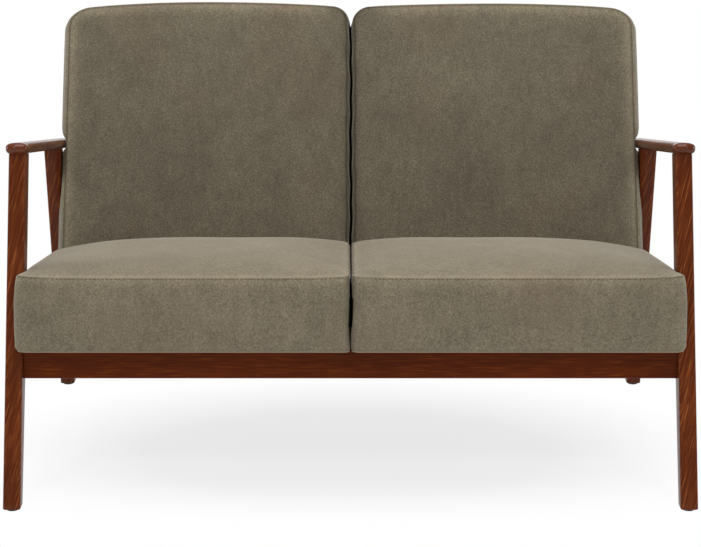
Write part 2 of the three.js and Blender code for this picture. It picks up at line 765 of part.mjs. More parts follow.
function backOutline(into, inset) {
  const armMiddle = alongAtArm(into, armMidLift);
  const low = new THREE.Vector2(unitGap / 2 + backInnerSwell + inset, backBottom + inset);
  const high = new THREE.Vector2(backOuter(backBottom) - inset, backTop - inset);
  const radii = [backBottomRadius, backBottomRadius, backTopRadius, backTopRadius];
  const [, lowerRadius, upperRadius] = radii.map((radius) => insetRadius(radius, inset));
  const sideStart = low.y + lowerRadius;
  const sideLength = high.y - upperRadius - sideStart;
  const grooveShares = [-1.4, -0.6, 0.6, 1.4]; // of the groove's reach, from the armrest's middle
  const atLeg = alongAtLeg(into);
  const atGroove = grooveShares.map((share) => armMiddle + share * grooveReach);
  const sideAlongs = [atLeg - backEarRun, atLeg, ...atGroove];
  const outerShares = sideAlongs.map((along) => (along - sideStart) / sideLength);
  const insetRadii = radii.map((radius) => insetRadius(radius, inset));
  const sideShares = [[1 / 2], outerShares, [1 / 4, 3 / 4], [1 / 2]];
  const ring = roundedOutline(low, high, insetRadii, sideShares, padCornerPoints);
  const plain = inset >= coverLip;
  const barrel = Math.sin(Math.PI * clamp(into / backThickness, 0, 1)) ** backSwellFullness;
  const middle = (low.x + high.x) / 2;
  return ring.map((p) => {
    const out = (p.x - middle) / (high.x - middle);
    const x = p.x - Math.max(0, out) * (backOuter(backBottom) - backOuter(p.y));
    if (plain) return new THREE.Vector2(x, p.y);
    const limit = backSideLimit(p.y, into, armMiddle);
    const swell = (out > 0 ? backSideSwell : -backInnerSwell) * barrel * out ** sideSwellPower;
    const inTop = clamp((p.y - high.y + upperRadius) / upperRadius, 0, 1);
    const arch = backTopArch * inTop * (1 - Math.min(1, out ** 2));
    return new THREE.Vector2(Math.min(x + swell, limit - inset), p.y + arch);
  });
}

const backUnit = {
  outline: backOutline,
  point: (p, into) => new THREE.Vector3(p.x, into, p.y),
  openFace: (inset) => backThickness - inset,
  levels: (inset) => [
    [openFaceShare, insetRadius(backRearEdgeRadius, inset), backThickness - inset],
    ...edgeLevels(insetRadius(backRearEdgeRadius, inset), backThickness - inset, -1),
    [0, 0, (backThickness * 2) / 3],
    [0, 0, backThickness / 3],
    [0, 0, backThickness / 6],
    ...edgeLevels(insetRadius(backFrontEdgeRadius, inset), inset, 1).reverse(),
    ...crownLevels(inset, -backFrontCrown),
  ],
};

// The plywood board in a back unit stands behind the foam, with a batten at each side.
const boardRear = backThickness - coverThickness - gap;
const board = {
  x0: unitGap / 2 + backInnerSwell + frameInset,
  x1: backOuter(backTop) - frameInset,
  y0: boardRear - boardThickness,
  y1: boardRear,
  z0: backBottom + frameInset,
  z1: backTop - boardTopInset,
};
const battenRear = board.y0 - gap;
const battenFront = battenRear - battenDepth;
const battenMiddle = (battenFront + battenRear) / 2;

// Bolts that hold a back unit: one through the rear leg, one through the armrest
const battenLine = (z) => backFoot + battenMiddle / backCos + Math.tan(backRecline) * z;
const legMiddle = (z) => rearLeg.front(z) + rearLeg.depth(z) / 2;
const offLine = (z) => legMiddle(z) - battenLine(z);
const legBoltHeight = (armTopHeight * offLine(0)) / (offLine(0) - offLine(armTopHeight));
const legBolt = legBearing(legMiddle(legBoltHeight), legBoltHeight);
const armBoltPlace = backPoint(alongAtArm(battenMiddle, armMidLift), battenMiddle);
const armBolt = bearing(armStart.x + armWidth / 2, ...armBoltPlace);
const backBoltEnd = board.x1 - battenBoltBite;

// The reclined frame's own coordinates of a tool that lies along X
function intoBack(geometry) {
  return geometry.applyMatrix4(backGroup.matrix.clone().invert());
}

const backGroup = new THREE.Group();
backGroup.position.set(0, backFoot, 0);
backGroup.rotation.x = -backRecline;
backGroup.updateMatrix();

const linkBoltAlong = (backBottom + backTop) / 2;

// A bolt with a head at each end, along X through both inner battens
function linkBoltGeometry() {
  const half = board.x0 + battenWidth + gap;
  const profile = [
    [0, -half - linkNutHeight],
    [boltHeadRadius, -half - linkNutHeight],
    [boltHeadRadius, -half],
    [boltRadius, -half],
    [boltRadius, half],
    [boltHeadRadius, half],
    [boltHeadRadius, half + linkNutHeight],
    [0, half + linkNutHeight],
  ];
  return revolved(profile).translate(0, battenMiddle, linkBoltAlong);
}

function linkBoltHole(radius, end) {
  const hole = new THREE.CylinderGeometry(radius, radius, end * 2, boltSides);
  return hole.rotateZ(-Math.PI / 2).translate(0, battenMiddle, linkBoltAlong);
}

function addBack(group) {
  const b = board;
  const holes = [boltHole(legBolt, backBoltEnd), boltHole(armBolt, backBoltEnd)].map(intoBack);
  const innerSide = b.x0 + battenWidth;
  const linkHole = linkBoltHole(boltRadius + boltHoleClearance, innerSide + overrun);
  const nutEnd = innerSide + linkNutHeight + gap * 3;
  const nutRoom = linkBoltHole(boltHeadRadius + boltHoleClearance, nutEnd);
  addPair("back_cover", cut(coverGeometry(backUnit), ...holes, linkHole), "velour", group);

  const boardRoom = block(b.x0 - gap, b.x1 + gap, b.y0 - gap, b.y1 + overrun, b.z0 - gap, b.z1 + gap);
  const battenRoom = (x0, x1) => {
    return block(x0 - gap, x1 + gap, battenFront - gap, b.y1, b.z0 - gap, b.z1 + gap);
  };
  const innerRoom = battenRoom(b.x0, innerSide);
  const outerRoom = battenRoom(b.x1 - battenWidth, b.x1);
  const pad = padGeometry(backUnit, coverThickness + gap);
  const foam = cut(pad, boardRoom, innerRoom, outerRoom, ...holes, linkHole, nutRoom);
  addPair("back_foam", foam, "foam", group);
  addPair("back_board", block(b.x0, b.x1, b.y0, b.y1, b.z0, b.z1), "plywood", group);

  const batten = (x0, x1) => block(x0, x1, battenFront, battenRear, b.z0, b.z1);
  addPair("back_outer_batten", cut(batten(b.x1 - battenWidth, b.x1), ...holes), "hiddenBeech", group);
  addPair("back_inner_batten", cut(batten(b.x0, innerSide), linkHole), "hiddenBeech", group);
  const panel = mouthPanelGeometry(backUnit, [backThickness - rearPanelThickness, backThickness]);
  addPair("back_rear_panel", panel, "velour", group);
  add("back_link_bolt", linkBoltGeometry(), "steel", group);
}

// Steel bracket from the rear rail to the underside of a back unit
function bracketGeometry() {
  const upper = backBottom - gap;
  const lower = upper - bracketThickness;
  const front = rearRailRear + gap;
  const intoAt = (y, along) => (y - backFoot - along * backSin) / backCos;
  const far = backThickness - backRearEdgeRadius;
  const foot = railTop(rearRailRear) - bracketDrop;
  const profile = [
    [front, foot],
    [front + bracketThickness, foot],
    backPoint(lower, intoAt(front + bracketThickness, lower)),
    backPoint(lower, far),
    backPoint(upper, far),
    backPoint(upper, intoAt(front, upper)),
  ];
  const middle = backOuter(backBottom) / 2;
  return sidePrism(profile, middle - bracketWidth / 2, middle + bracketWidth / 2);
}

function addGlides() {
  for (const [name, leg] of [["front", frontLeg], ["rear", rearLeg]]) {
    const glide = new THREE.CylinderGeometry(glideRadius, glideRadius, glideHeight, boltSides * 2);
    const x = outerFace(glideHeight) - leg.width(glideHeight) / 2;
    const y = leg.front(glideHeight) + leg.depth(glideHeight) / 2;
    glide.rotateX(Math.PI / 2).translate(x, y, glideHeight / 2);
    addPair(`${name}_glide`, glide, "glide");
  }
}

// Assembly

function addLeg(name, leg, hole) {
  const tenoned = join(legGeometry(leg), armTenon(leg, 0));
  addPair(name, cut(tenoned, sideRailTenons(gap), hole), "lacqueredBeech");
}

addLeg("front_leg", frontLeg, boltHole(frontRailBolt, frontRailBoltEnd));
addLeg("rear_leg", rearLeg, boltHole(legBolt, backBoltEnd));
addGlides();

const armHoles = [boltHole(armBolt, backBoltEnd), armTenon(frontLeg, gap), armTenon(rearLeg, gap)];
addPair("armrest", cut(armGeometry().applyMatrix4(armPlace), ...armHoles), "lacqueredBeech");

addPair("side_rail", sideRailGeometry(), "lacqueredBeech");
add("front_rail", frontRailGeometry(), "lacqueredBeech");
add("rear_rail", rearRailGeometry(), "lacqueredBeech");
add("centre_bearer", bearerGeometry(), "lacqueredBeech");

addPair("front_rail_bolt", boltGeometry(frontRailBolt, frontRailBoltEnd), "steel");
addPair("rear_rail_bolt", boltGeometry(rearRailBolt, rearRailBoltEnd), "steel");
addPair("back_leg_bolt", boltGeometry(legBolt, backBoltEnd), "steel");
addPair("back_arm_bolt", boltGeometry(armBolt, backBoltEnd), "steel");
addPair("back_bracket", bracketGeometry(), "steel");

const seatGroup = new THREE.Group();
seatGroup.position.set(0, seatFront, seatBottomHeight);
seatGroup.rotation.x = -seatTilt;
settee.add(seatGroup);
addSeat(seatGroup);

settee.add(backGroup);
addBack(backGroup);

// The part's own origin is the middle of its footprint, on the floor.
const footprint = new THREE.Box3().setFromObject(settee, true);
settee.position.y = -(footprint.min.y + footprint.max.y) / 2;

export default settee;
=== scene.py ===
# %% [markdown]
# # A high back settee
#
# Two raked side frames of lacquered beech carry two upholstered seat units and two
# upholstered back units. The lengths below are the settee's own, in metres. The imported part
# gives the frame, so every piece here is set on the solids that it dresses.

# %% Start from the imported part
import json
import math

import bpy
import bmesh
import numpy as np
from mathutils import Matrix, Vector
from mathutils.bvhtree import BVHTree


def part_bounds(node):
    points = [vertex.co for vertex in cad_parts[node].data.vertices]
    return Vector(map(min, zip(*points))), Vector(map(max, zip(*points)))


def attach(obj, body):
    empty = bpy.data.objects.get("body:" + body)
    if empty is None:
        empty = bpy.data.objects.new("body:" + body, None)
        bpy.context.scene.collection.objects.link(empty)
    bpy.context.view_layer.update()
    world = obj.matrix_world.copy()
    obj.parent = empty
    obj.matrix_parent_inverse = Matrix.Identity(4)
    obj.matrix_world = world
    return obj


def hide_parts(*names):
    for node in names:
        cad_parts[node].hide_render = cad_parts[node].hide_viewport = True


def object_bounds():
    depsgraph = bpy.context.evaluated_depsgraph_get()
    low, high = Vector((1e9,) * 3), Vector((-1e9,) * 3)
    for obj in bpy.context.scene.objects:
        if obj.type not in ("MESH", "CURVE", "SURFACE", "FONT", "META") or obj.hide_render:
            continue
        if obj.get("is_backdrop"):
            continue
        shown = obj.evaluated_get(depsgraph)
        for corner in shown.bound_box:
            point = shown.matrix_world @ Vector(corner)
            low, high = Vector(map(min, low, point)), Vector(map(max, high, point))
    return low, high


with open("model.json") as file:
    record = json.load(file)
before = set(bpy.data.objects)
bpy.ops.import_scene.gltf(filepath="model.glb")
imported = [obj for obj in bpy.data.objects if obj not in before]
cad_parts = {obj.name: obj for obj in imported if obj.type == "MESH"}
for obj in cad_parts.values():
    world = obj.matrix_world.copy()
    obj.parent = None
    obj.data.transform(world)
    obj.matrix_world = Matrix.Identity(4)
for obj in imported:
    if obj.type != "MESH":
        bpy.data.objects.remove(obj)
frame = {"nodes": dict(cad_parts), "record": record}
part_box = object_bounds()
scene = bpy.context.scene
print("solids in the part:", len(frame["nodes"]))

# %% [markdown]
# ## Lines of the settee
#
# The side frames close in towards the top by a degree and a half, the front legs lean back and
# the rear legs lean forward. Everything else hangs on these few lines, so they come first. Side
# view lengths are measured from the front edge of the feet, where the legs would meet the floor.
# The gap is the hair's breadth that is left between neighbouring pieces.

# %% Lines of the side frames
GAP = 0.0003
LEAN = math.tan(math.radians(1.43))
FRONT_RAKE = math.tan(math.radians(13.06))
REAR_RAKE = math.tan(math.radians(17.17))
ARM_TILT = math.radians(10.41)
SEAT_TILT = math.radians(6.5)
RECLINE = math.radians(19.65)
FOOT_HALF_WIDTH = 0.6324
ARM_TOP = 0.6528
ARM_THICKNESS = 0.020
ARM_WIDTH = 0.040
REAR_LEG_WIDTH = 0.030
SEAT_FRONT = 0.035
SEAT_BOTTOM = 0.291
HEEL_DEPTH = 0.463
HEEL_HEIGHT = 0.052
HEEL_REAR = SEAT_FRONT + HEEL_DEPTH * math.cos(SEAT_TILT)
REAR_FOOT = HEEL_REAR + 0.2228
FOOT_LIFT = 0.0033
FOOT_CHAMFER = 0.0025
FLOOR_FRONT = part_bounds("right_front_leg")[0][1] - FRONT_RAKE * (FOOT_LIFT + FOOT_CHAMFER)


def eased(share):
    """A step that starts and ends gently: three times the share squared less twice its cube."""
    share = np.clip(share, 0, 1)
    return share * share * (3 - 2 * share)


def outer_face(z):
    """Half width of the settee at a height: the foot's half width less lean times height."""
    return FOOT_HALF_WIDTH - LEAN * z


def front_leg_front(z):
    """Front edge of a front leg: the rake times the height."""
    return FRONT_RAKE * z


def rear_leg_front(z):
    """Front edge of a rear leg: its place at the floor less the rake times the height."""
    return REAR_FOOT - REAR_RAKE * z


def front_leg_depth(z):
    """Depth of a front leg: 30 mm at the foot, 43 mm at the shoulder, 50 mm at the armrest."""
    return np.interp(z, [0, 0.225, ARM_TOP], [0.030, 0.043, 0.050])


def rear_leg_depth(z):
    """Depth of a rear leg: it grows evenly from 29 mm at the floor to 58 mm at the armrest."""
    return np.interp(z, [0, ARM_TOP], [0.029, 0.058])


def front_leg_width(z):
    """Width of a front leg: from 32 mm at the floor to 29.5 mm at the armrest."""
    return np.interp(z, [0, ARM_TOP], [0.032, 0.0295])


def rear_leg_width(z):
    """Width of a rear leg: 30 mm all the way."""
    return np.full(np.shape(z), REAR_LEG_WIDTH)


def in_frame(x, y, z):
    """Points of the part's frame from side view lengths: the floor line is moved to its place."""
    x, y, z = np.broadcast_arrays(x, y, z)
    return np.stack([x, y + FLOOR_FRONT, z], axis=-1)


print("front of the feet at y =", round(FLOOR_FRONT, 5))

# %% [markdown]
# ## Camera
#
# The settee is seen straight from the front, from a little over three metres away, at standing
# height and looking down by fifteen degrees. The lens is long, so the legs hardly converge. The
# camera comes early because it settles what has to look right from close by.

# %% Camera
camera_data = bpy.data.cameras.new("camera")
camera_data.sensor_width = 36
camera_data.lens = 97.17
camera = bpy.data.objects.new("camera", camera_data)
scene.collection.objects.link(camera)
camera.location = (0, FLOOR_FRONT - 3.199, 1.3318)
camera.rotation_euler = (math.radians(74.59), 0, 0)
scene.camera = camera
print("camera at", [round(v, 4) for v in camera.location])

# %% [markdown]
# ## Helpers for surfaces
#
# A turned, bent or stuffed piece is a stack of rings with equally many points. The rings are
# worked out as whole arrays, and each end is closed on the middle of its last ring. A panel of
# cloth is a grid filled in between its four edges. Whatever comes in pairs is worked out for the
# right side and mirrored for the left.

# %% Helpers for surfaces
def point_indices(rows, columns):
    """Indices of points that are stored row after row."""
    return np.arange(rows * columns).reshape(rows, columns)


def grid_quads(index, wrap_rows=0, wrap_columns=0):
    """Faces of a grid of point indices; a wrap of 1 closes the grid on itself that way."""
    index = np.pad(index, ((0, wrap_rows), (0, wrap_columns)), mode="wrap")
    corners = [index[:-1, :-1], index[:-1, 1:], index[1:, 1:], index[1:, :-1]]
    return np.stack(corners, axis=-1).reshape(-1, 4)


def round_angles(sides):
    """Angles of points spread evenly round a circle."""
    return np.linspace(0, 2 * math.pi, sides, endpoint=False)


def skinned(rings):
    """Closed form from rings of shape (rings, points, 3), each end closed on its ring's middle."""
    rows, columns = rings.shape[:2]
    points = np.concatenate([rings.reshape(-1, 3), rings[[0, -1]].mean(axis=1)])
    index = point_indices(rows, columns)
    low_middle, high_middle = (np.full(columns, rows * columns + k) for k in (0, 1))
    low = np.stack([np.roll(index[0], -1), index[0], low_middle], axis=-1)
    high = np.stack([index[-1], np.roll(index[-1], -1), high_middle], axis=-1)
    quads = grid_quads(index, wrap_columns=1)
    return points, [*quads.tolist(), *low.tolist(), *high.tolist()]


def signed_volume(points, faces):
    """Sum over the faces of the corner products, positive where the faces point outwards."""
    quads = np.array([(*f, f[-1]) if len(f) == 3 else tuple(f) for f in faces])
    a, b, c, d = (points[quads[:, k]] for k in range(4))
    return np.einsum("ij,ij->", a, np.cross(b, c) + np.cross(c, d))


def new_piece(name, points, faces, closed=True):
    """Puts points and faces into a mesh whose object stays at the origin, faces outwards."""
    points = np.asarray(points, float)
    if closed and signed_volume(points, faces) < 0:
        faces = [tuple(reversed(f)) for f in faces]
    mesh = bpy.data.meshes.new(name)
    mesh.from_pydata(points.tolist(), [], [list(f) for f in faces])
    mesh.update()
    piece = bpy.data.objects.new(name, mesh)
    scene.collection.objects.link(piece)
    return piece


def shade(piece, angle=40):
    """Smooth shading, with edges sharper than the angle kept crisp."""
    mesh = piece.data
    mesh.polygons.foreach_set("use_smooth", np.ones(len(mesh.polygons), bool))
    mesh.set_sharp_from_angle(angle=math.radians(angle))
    return piece


def set_values(piece, name, values):
    """Stores one or three numbers for each vertex under a name that a material can read."""
    values = np.asarray(values, np.float32)
    kind, key = ("FLOAT_VECTOR", "vector") if values.ndim == 2 else ("FLOAT", "value")
    layer = piece.data.attributes.new(name, kind, "POINT")
    layer.data.foreach_set(key, values.ravel())


def points_of(piece):
    """The piece's vertices as an array of shape (vertices, 3)."""
    flat = np.empty(len(piece.data.vertices) * 3, np.float32)
    piece.data.vertices.foreach_get("co", flat)
    return flat.reshape(-1, 3).astype(float)


def settle(piece, material, slot, *nodes):
    """Gives a piece its material and hides the CAD nodes it stands for; the slot is not used."""
    piece.data.materials.clear()
    piece.data.materials.append(material)
    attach(piece, "root")
    if nodes:
        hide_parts(*nodes)
    return piece


SIDES = {"right": 1.0, "left": -1.0}

# %% [markdown]
# ## Materials
#
# The wood is beech, stained a reddish brown and lacquered, so its grain shows as soft streaks
# along each piece under a clear, slightly glossy coat. The front rail is duller than the legs,
# and its stain is tinted darker as painted shade, for it lies under the seats. The armrests are
# polished by hands. The cloth is a short velour, whose nap is brushed this way and that: it looks
# mottled from above and pale where it is seen edge on. Beside its seams it is painted paler, a
# painted highlight; in the seams, near and in the gap between the units and all over the back
# units it is painted darker, painted shade. The rest is plain workshop stock: raw beech, plywood,
# foam, webbing, thin black cloth and zinc.

# %% Materials: small tools
class Finish:
    """A material with a few short ways to add its nodes."""

    def __init__(self, name, color, roughness, metallic=0.0):
        self.material = bpy.data.materials.new(name)
        self.material.use_nodes = True
        self.tree = self.material.node_tree
        self.shader = self.tree.nodes["Principled BSDF"]
        self.material.diffuse_color = (*color, 1)
        self.set("Base Color", (*color, 1))
        self.set("Roughness", roughness)
        self.set("Metallic", metallic)

    def set(self, socket, value):
        """Sets a value on one of the shader's own sockets."""
        self.shader.inputs[socket].default_value = value

    def node(self, kind, **settings):
        """A new node, its settings given as socket values or as properties."""
        made = self.tree.nodes.new(kind)
        for key, value in settings.items():
            if key in made.inputs:
                made.inputs[key].default_value = value
            else:
                setattr(made, key, value)
        return made

    def link(self, source, target):
        """Leads an output to an input."""
        self.tree.links.new(source, target)

    def paint(self, color):
        """Leads a colour to the shader."""
        self.link(color, self.shader.inputs["Base Color"])

    def coordinates(self, attribute=None, scale=(1, 1, 1), shift=(0, 0, 0)):
        """Object coordinates, or a stored vector, scaled and then shifted."""
        if attribute:
            source = self.node("ShaderNodeAttribute", attribute_name=attribute).outputs["Vector"]
        else:
            source = self.node("ShaderNodeTexCoord").outputs["Object"]
        mapping = self.node("ShaderNodeMapping", Scale=scale, Location=shift)
        self.link(source, mapping.inputs["Vector"])
        return mapping.outputs["Vector"]

    def noise(self, vector, scale, detail=3.0, roughness=0.5, distortion=0.0):
        """A noise between 0 and 1 over a vector."""
        made = self.node("ShaderNodeTexNoise", Scale=scale, Detail=detail, Roughness=roughness)
        made.inputs["Distortion"].default_value = distortion
        self.link(vector, made.inputs["Vector"])
        return made.outputs["Fac"]

    def ramp(self, value, stops):
        """Colours or greys at given places of a value, with smooth steps between."""
        made = self.node("ShaderNodeValToRGB")
        elements = made.color_ramp.elements
        while len(elements) < len(stops):
            elements.new(0.5)
        for element, (place, color) in zip(elements, stops):
            element.position = place
            element.color = (*color, 1) if hasattr(color, "__len__") else (color, color, color, 1)
        self.link(value, made.inputs["Fac"])
        return made.outputs["Color"]

    def math(self, operation, a, b):
        """A sum, product or other operation on two outputs or numbers."""
        made = self.node("ShaderNodeMath", operation=operation)
        for socket, value in zip(made.inputs, (a, b)):
            if isinstance(value, (int, float)):
                socket.default_value = value
            else:
                self.link(value, socket)
        return made.outputs["Value"]

    def mix(self, factor, a, b, blend="MIX"):
        """Colour b laid over colour a by a factor; each is an output, a colour or a number."""
        made = self.node("ShaderNodeMix", data_type="RGBA", blend_type=blend)
        for socket, value in zip((made.inputs[0], made.inputs[6], made.inputs[7]), (factor, a, b)):
            if isinstance(value, (int, float)):
                socket.default_value = value
            elif isinstance(value, tuple):
                socket.default_value = (*value, 1)
            else:
                self.link(value, socket)
        return made.outputs[2]

    def bump(self, height, strength, distance):
        """Lets a height tilt the surface's shading."""
        made = self.node("ShaderNodeBump", Strength=strength, Distance=distance)
        self.link(height, made.inputs["Height"])
        self.link(made.outputs["Normal"], self.shader.inputs["Normal"])


def linear(red, green, blue):
    """Scene colour of a written colour with parts from 0 to 255."""
    parts = np.array([red, green, blue]) / 255
    curve = np.where(parts <= 0.04045, parts / 12.92, ((parts + 0.055) / 1.055) ** 2.4)
    return tuple(float(c) for c in curve)


# %% Materials: lacquered beech
def lacquered_beech(name, coat, gloss, contrast=1.0, tint=(1.0, 1.0, 1.0)):
    """Stained beech: long streaks and short pores along the grain, tone drifting slowly."""
    stain = linear(104, 48, 18)
    wood = Finish(name, stain, 0.30)
    streaks = wood.noise(wood.coordinates("grain", scale=(1, 1, 0.045)), 380, 3, 0.6, 0.3)
    pores = wood.noise(wood.coordinates("grain", scale=(1, 1, 0.08)), 900, 2, 0.6)
    drift = wood.noise(wood.coordinates("grain", scale=(1, 1, 0.35)), 14, 2, 0.5)
    body = wood.ramp(streaks, [
        (0.34, linear(82, 32, 10)),
        (0.50, linear(98, 44, 16)),
        (0.60, linear(116, 58, 25)),
        (0.70, linear(150, 86, 42)),
    ])
    body = wood.mix(contrast, stain, body)
    tone = wood.ramp(drift, [(0.3, 0.80), (0.7, 1.12)])
    color = wood.mix(1.0, wood.mix(1.0, body, tone, "MULTIPLY"), tint, "MULTIPLY")
    dark_pores = wood.ramp(pores, [(0.30, 0.72), (0.42, 1.0)])
    wood.paint(wood.mix(0.7, color, dark_pores, "MULTIPLY"))
    wood.link(wood.ramp(streaks, [(0.3, 0.36), (0.7, 0.26)]), wood.shader.inputs["Roughness"])
    wood.set("Specular IOR Level", 0.04)
    wood.set("Coat Weight", coat)
    wood.set("Coat IOR", 1.5)
    wood.set("Coat Roughness", gloss)
    wood.bump(wood.math("ADD", pores, streaks), 0.12, 0.0004)
    return wood.material


LACQUERED = lacquered_beech("lacquered_beech", 0.18, 0.12)
# The front rail's stain is tinted darker as painted shade for its place under the seats.
RAIL_LACQUER_PAINTED_SHADE = lacquered_beech("lacquered_beech_rail_painted_shade", 0.04, 0.2, 0.55, (0.78, 0.62, 0.25))
ARM_LACQUER = lacquered_beech("lacquered_beech_armrest", 0.5, 0.05, 0.6, (0.78, 0.82, 0.95))

# %% Materials: velour
VELOUR_DARK = linear(101, 92, 74)
VELOUR_MIDDLE = linear(118, 109, 91)
VELOUR_LIGHT = linear(137, 128, 110)
# Painted highlight beside the seams; painted shade in the seams and deep between the units.
VELOUR_PAINTED_LIGHT_AND_SHADE = {"painted_rim_light": (1.62, 1.62, 1.60), "seam": (0.42, 0.40, 0.36), "deep": (0.12, 0.11, 0.10)}


def velour(name, lightness):
    """Velour: a mottled nap over a fine pile, with painted light and shade from stored shares.

    Beside the seams the cloth is painted paler, a painted highlight; in the seams it is painted
    darker, painted shade, and deep between two cushions darker still, painted shade.
    """
    cloth = Finish(name, VELOUR_MIDDLE, 0.92)
    mottle = cloth.noise(cloth.coordinates(), 330, 3, 0.7, 0.2)
    clouds = cloth.noise(cloth.coordinates(), 9, 3, 0.55, 0.5)
    patches = cloth.noise(cloth.coordinates(), 30, 2, 0.5, 0.4)
    brushed = cloth.noise(cloth.coordinates(scale=(1, 1, 0.12)), 75, 2, 0.5)
    pile = cloth.noise(cloth.coordinates(), 900, 2, 0.7)
    color = cloth.ramp(mottle, [(0.34, VELOUR_DARK), (0.5, VELOUR_MIDDLE), (0.66, VELOUR_LIGHT)])
    color = cloth.mix(0.30, color, cloth.ramp(brushed, [(0.35, 0.82), (0.65, 1.16)]), "MULTIPLY")
    color = cloth.mix(0.45, color, cloth.ramp(clouds, [(0.32, 0.82), (0.68, 1.16)]), "MULTIPLY")
    color = cloth.mix(0.35, color, cloth.ramp(patches, [(0.35, 0.86), (0.65, 1.12)]), "MULTIPLY")
    warm = cloth.ramp(cloth.noise(cloth.coordinates(), 5, 2, 0.5), [(0.52, 0.0), (0.70, 1.0)])
    warm_share = cloth.math("MULTIPLY", warm, 0.16)
    color = cloth.mix(warm_share, color, linear(126, 104, 86))
    # Each stored share lays its painted highlight or painted shade on the colour.
    for key, factor in VELOUR_PAINTED_LIGHT_AND_SHADE.items():
        share = cloth.node("ShaderNodeAttribute", attribute_name=key).outputs["Fac"]
        color = cloth.mix(share, color, factor, "MULTIPLY")
    cloth.paint(cloth.mix(1.0, color, (lightness, lightness, lightness), "MULTIPLY"))
    cloth.set("Sheen Weight", 0.5)
    cloth.set("Sheen Roughness", 0.4)
    cloth.set("Sheen Tint", (*linear(224, 218, 206), 1))
    cloth.set("Specular IOR Level", 0.15)
    relief = cloth.math("ADD", cloth.math("MULTIPLY", pile, 0.5), mottle)
    cloth.bump(relief, 0.35, 0.0012)
    return cloth.material


def painted_shade_velour():
    """Near-black cloth without sheen for faces deep between two cushions: painted shade."""
    cloth = Finish("velour_painted_gap_shade", linear(30, 27, 22), 1.0)
    mottle = cloth.noise(cloth.coordinates(), 330, 3, 0.7, 0.2)
    cloth.paint(cloth.ramp(mottle, [(0.35, linear(22, 20, 16)), (0.65, linear(38, 34, 28))]))
    cloth.set("Specular IOR Level", 0.0)
    cloth.bump(mottle, 0.3, 0.0012)
    return cloth.material


VELOUR = velour("velour", 1.0)
# The backs get a darker copy of the same velour: painted shade.
BACK_VELOUR_PAINTED_DARKER = velour("velour_painted_darker_back", 0.67)
# Painted shade: a near-black cloth for the faces deep in the gap between the units.
GAP_SHADE_VELOUR = painted_shade_velour()

# %% Materials: hidden wood, foam, webbing, dust cloth, steel, glides
def raw_wood(name, dark, light, layers):
    """Planed wood: streaks along X, or the edge lines of plywood where layers is true."""
    wood = Finish(name, light, 0.7)
    scale = (1, 0.2, 1) if layers else (0.06, 1, 1)
    grain = wood.noise(wood.coordinates(scale=scale), 180, 4, 0.6, 0.2)
    wood.paint(wood.ramp(grain, [(0.3, dark), (0.7, light)]))
    wood.bump(grain, 0.15, 0.0005)
    return wood.material


def speckled(name, dark, light, scale, roughness, depth, metallic=0.0):
    """A small speckle of two close tones with a bump of the same size."""
    stock = Finish(name, light, roughness, metallic)
    speckle = stock.noise(stock.coordinates(), scale, 3, 0.6)
    stock.paint(stock.ramp(speckle, [(0.35, dark), (0.65, light)]))
    stock.bump(speckle, 0.3, depth)
    return stock.material


def woven(name, dark, light, pitch, roughness):
    """A plain weave: two sets of threads at right angles, each high where the other is low."""
    cloth = Finish(name, light, roughness)
    place = cloth.node("ShaderNodeSeparateXYZ")
    cloth.link(cloth.coordinates(), place.inputs[0])
    turns = 2 * math.pi / pitch
    waves = [
        cloth.math("SINE", cloth.math("MULTIPLY", place.outputs[axis], turns), 0) for axis in (0, 1)
    ]
    weave = cloth.math("ADD", cloth.math("MULTIPLY", cloth.math("MULTIPLY", *waves), 0.5), 0.5)
    cloth.paint(cloth.ramp(weave, [(0.2, dark), (0.8, light)]))
    cloth.bump(weave, 0.4, 0.0006)
    return cloth.material


RAW_BEECH = raw_wood("hidden_beech", linear(190, 158, 116), linear(212, 182, 140), False)
PLYWOOD = raw_wood("plywood", linear(178, 144, 98), linear(206, 172, 126), True)
FOAM = speckled("foam", linear(218, 208, 178), linear(236, 228, 202), 500, 1.0, 0.001)
WEBBING = woven("webbing", linear(30, 28, 27), linear(62, 58, 55), 0.004, 0.85)
DUST_CLOTH = speckled("dust_cloth", linear(20, 20, 21), linear(40, 40, 42), 700, 0.95, 0.0004)
STEEL = speckled("steel", linear(150, 152, 156), linear(186, 188, 192), 300, 0.35, 0.0001, 1.0)
GLIDE = speckled("glide", linear(28, 28, 29), linear(44, 44, 45), 900, 0.6, 0.0002)
# The welt's thread is paler than the cloth: a painted highlight along the seats' lower edge.
THREAD = speckled("thread", linear(128, 117, 96), linear(150, 139, 117), 1500, 0.8, 0.0002)
SHADE_THREAD = speckled("seam_thread", linear(52, 46, 38), linear(70, 62, 52), 1500, 0.9, 0.0002)
print("materials:", len(bpy.data.materials))

# %% [markdown]
# ## Legs
#
# Each leg is a straight tapered stick with softly rounded edges, sawn at the slope of the armrest
# that sits on it. Its section is a rectangle with rounded corners, and its size follows the
# height. The foot is eased all round so that it doesn't splinter. The bolts that hold the rails
# and the back sit in counterbores, so those are drilled.

# %% Legs
EDGE_RADIUS = 0.004
HEAD_HOLE_RADIUS, HEAD_HOLE_DEPTH = 0.0054, 0.0053
SHANK_HOLE_RADIUS = 0.0034
STREAK_LEAN = 0.27
ARM_START = (
    float(outer_face(ARM_TOP) - front_leg_width(ARM_TOP) / 2),
    FRONT_RAKE * ARM_TOP - ARM_THICKNESS * math.sin(ARM_TILT),
    ARM_TOP - ARM_THICKNESS * math.cos(ARM_TILT),
)
ARM_SLOPE = math.tan(ARM_TILT)


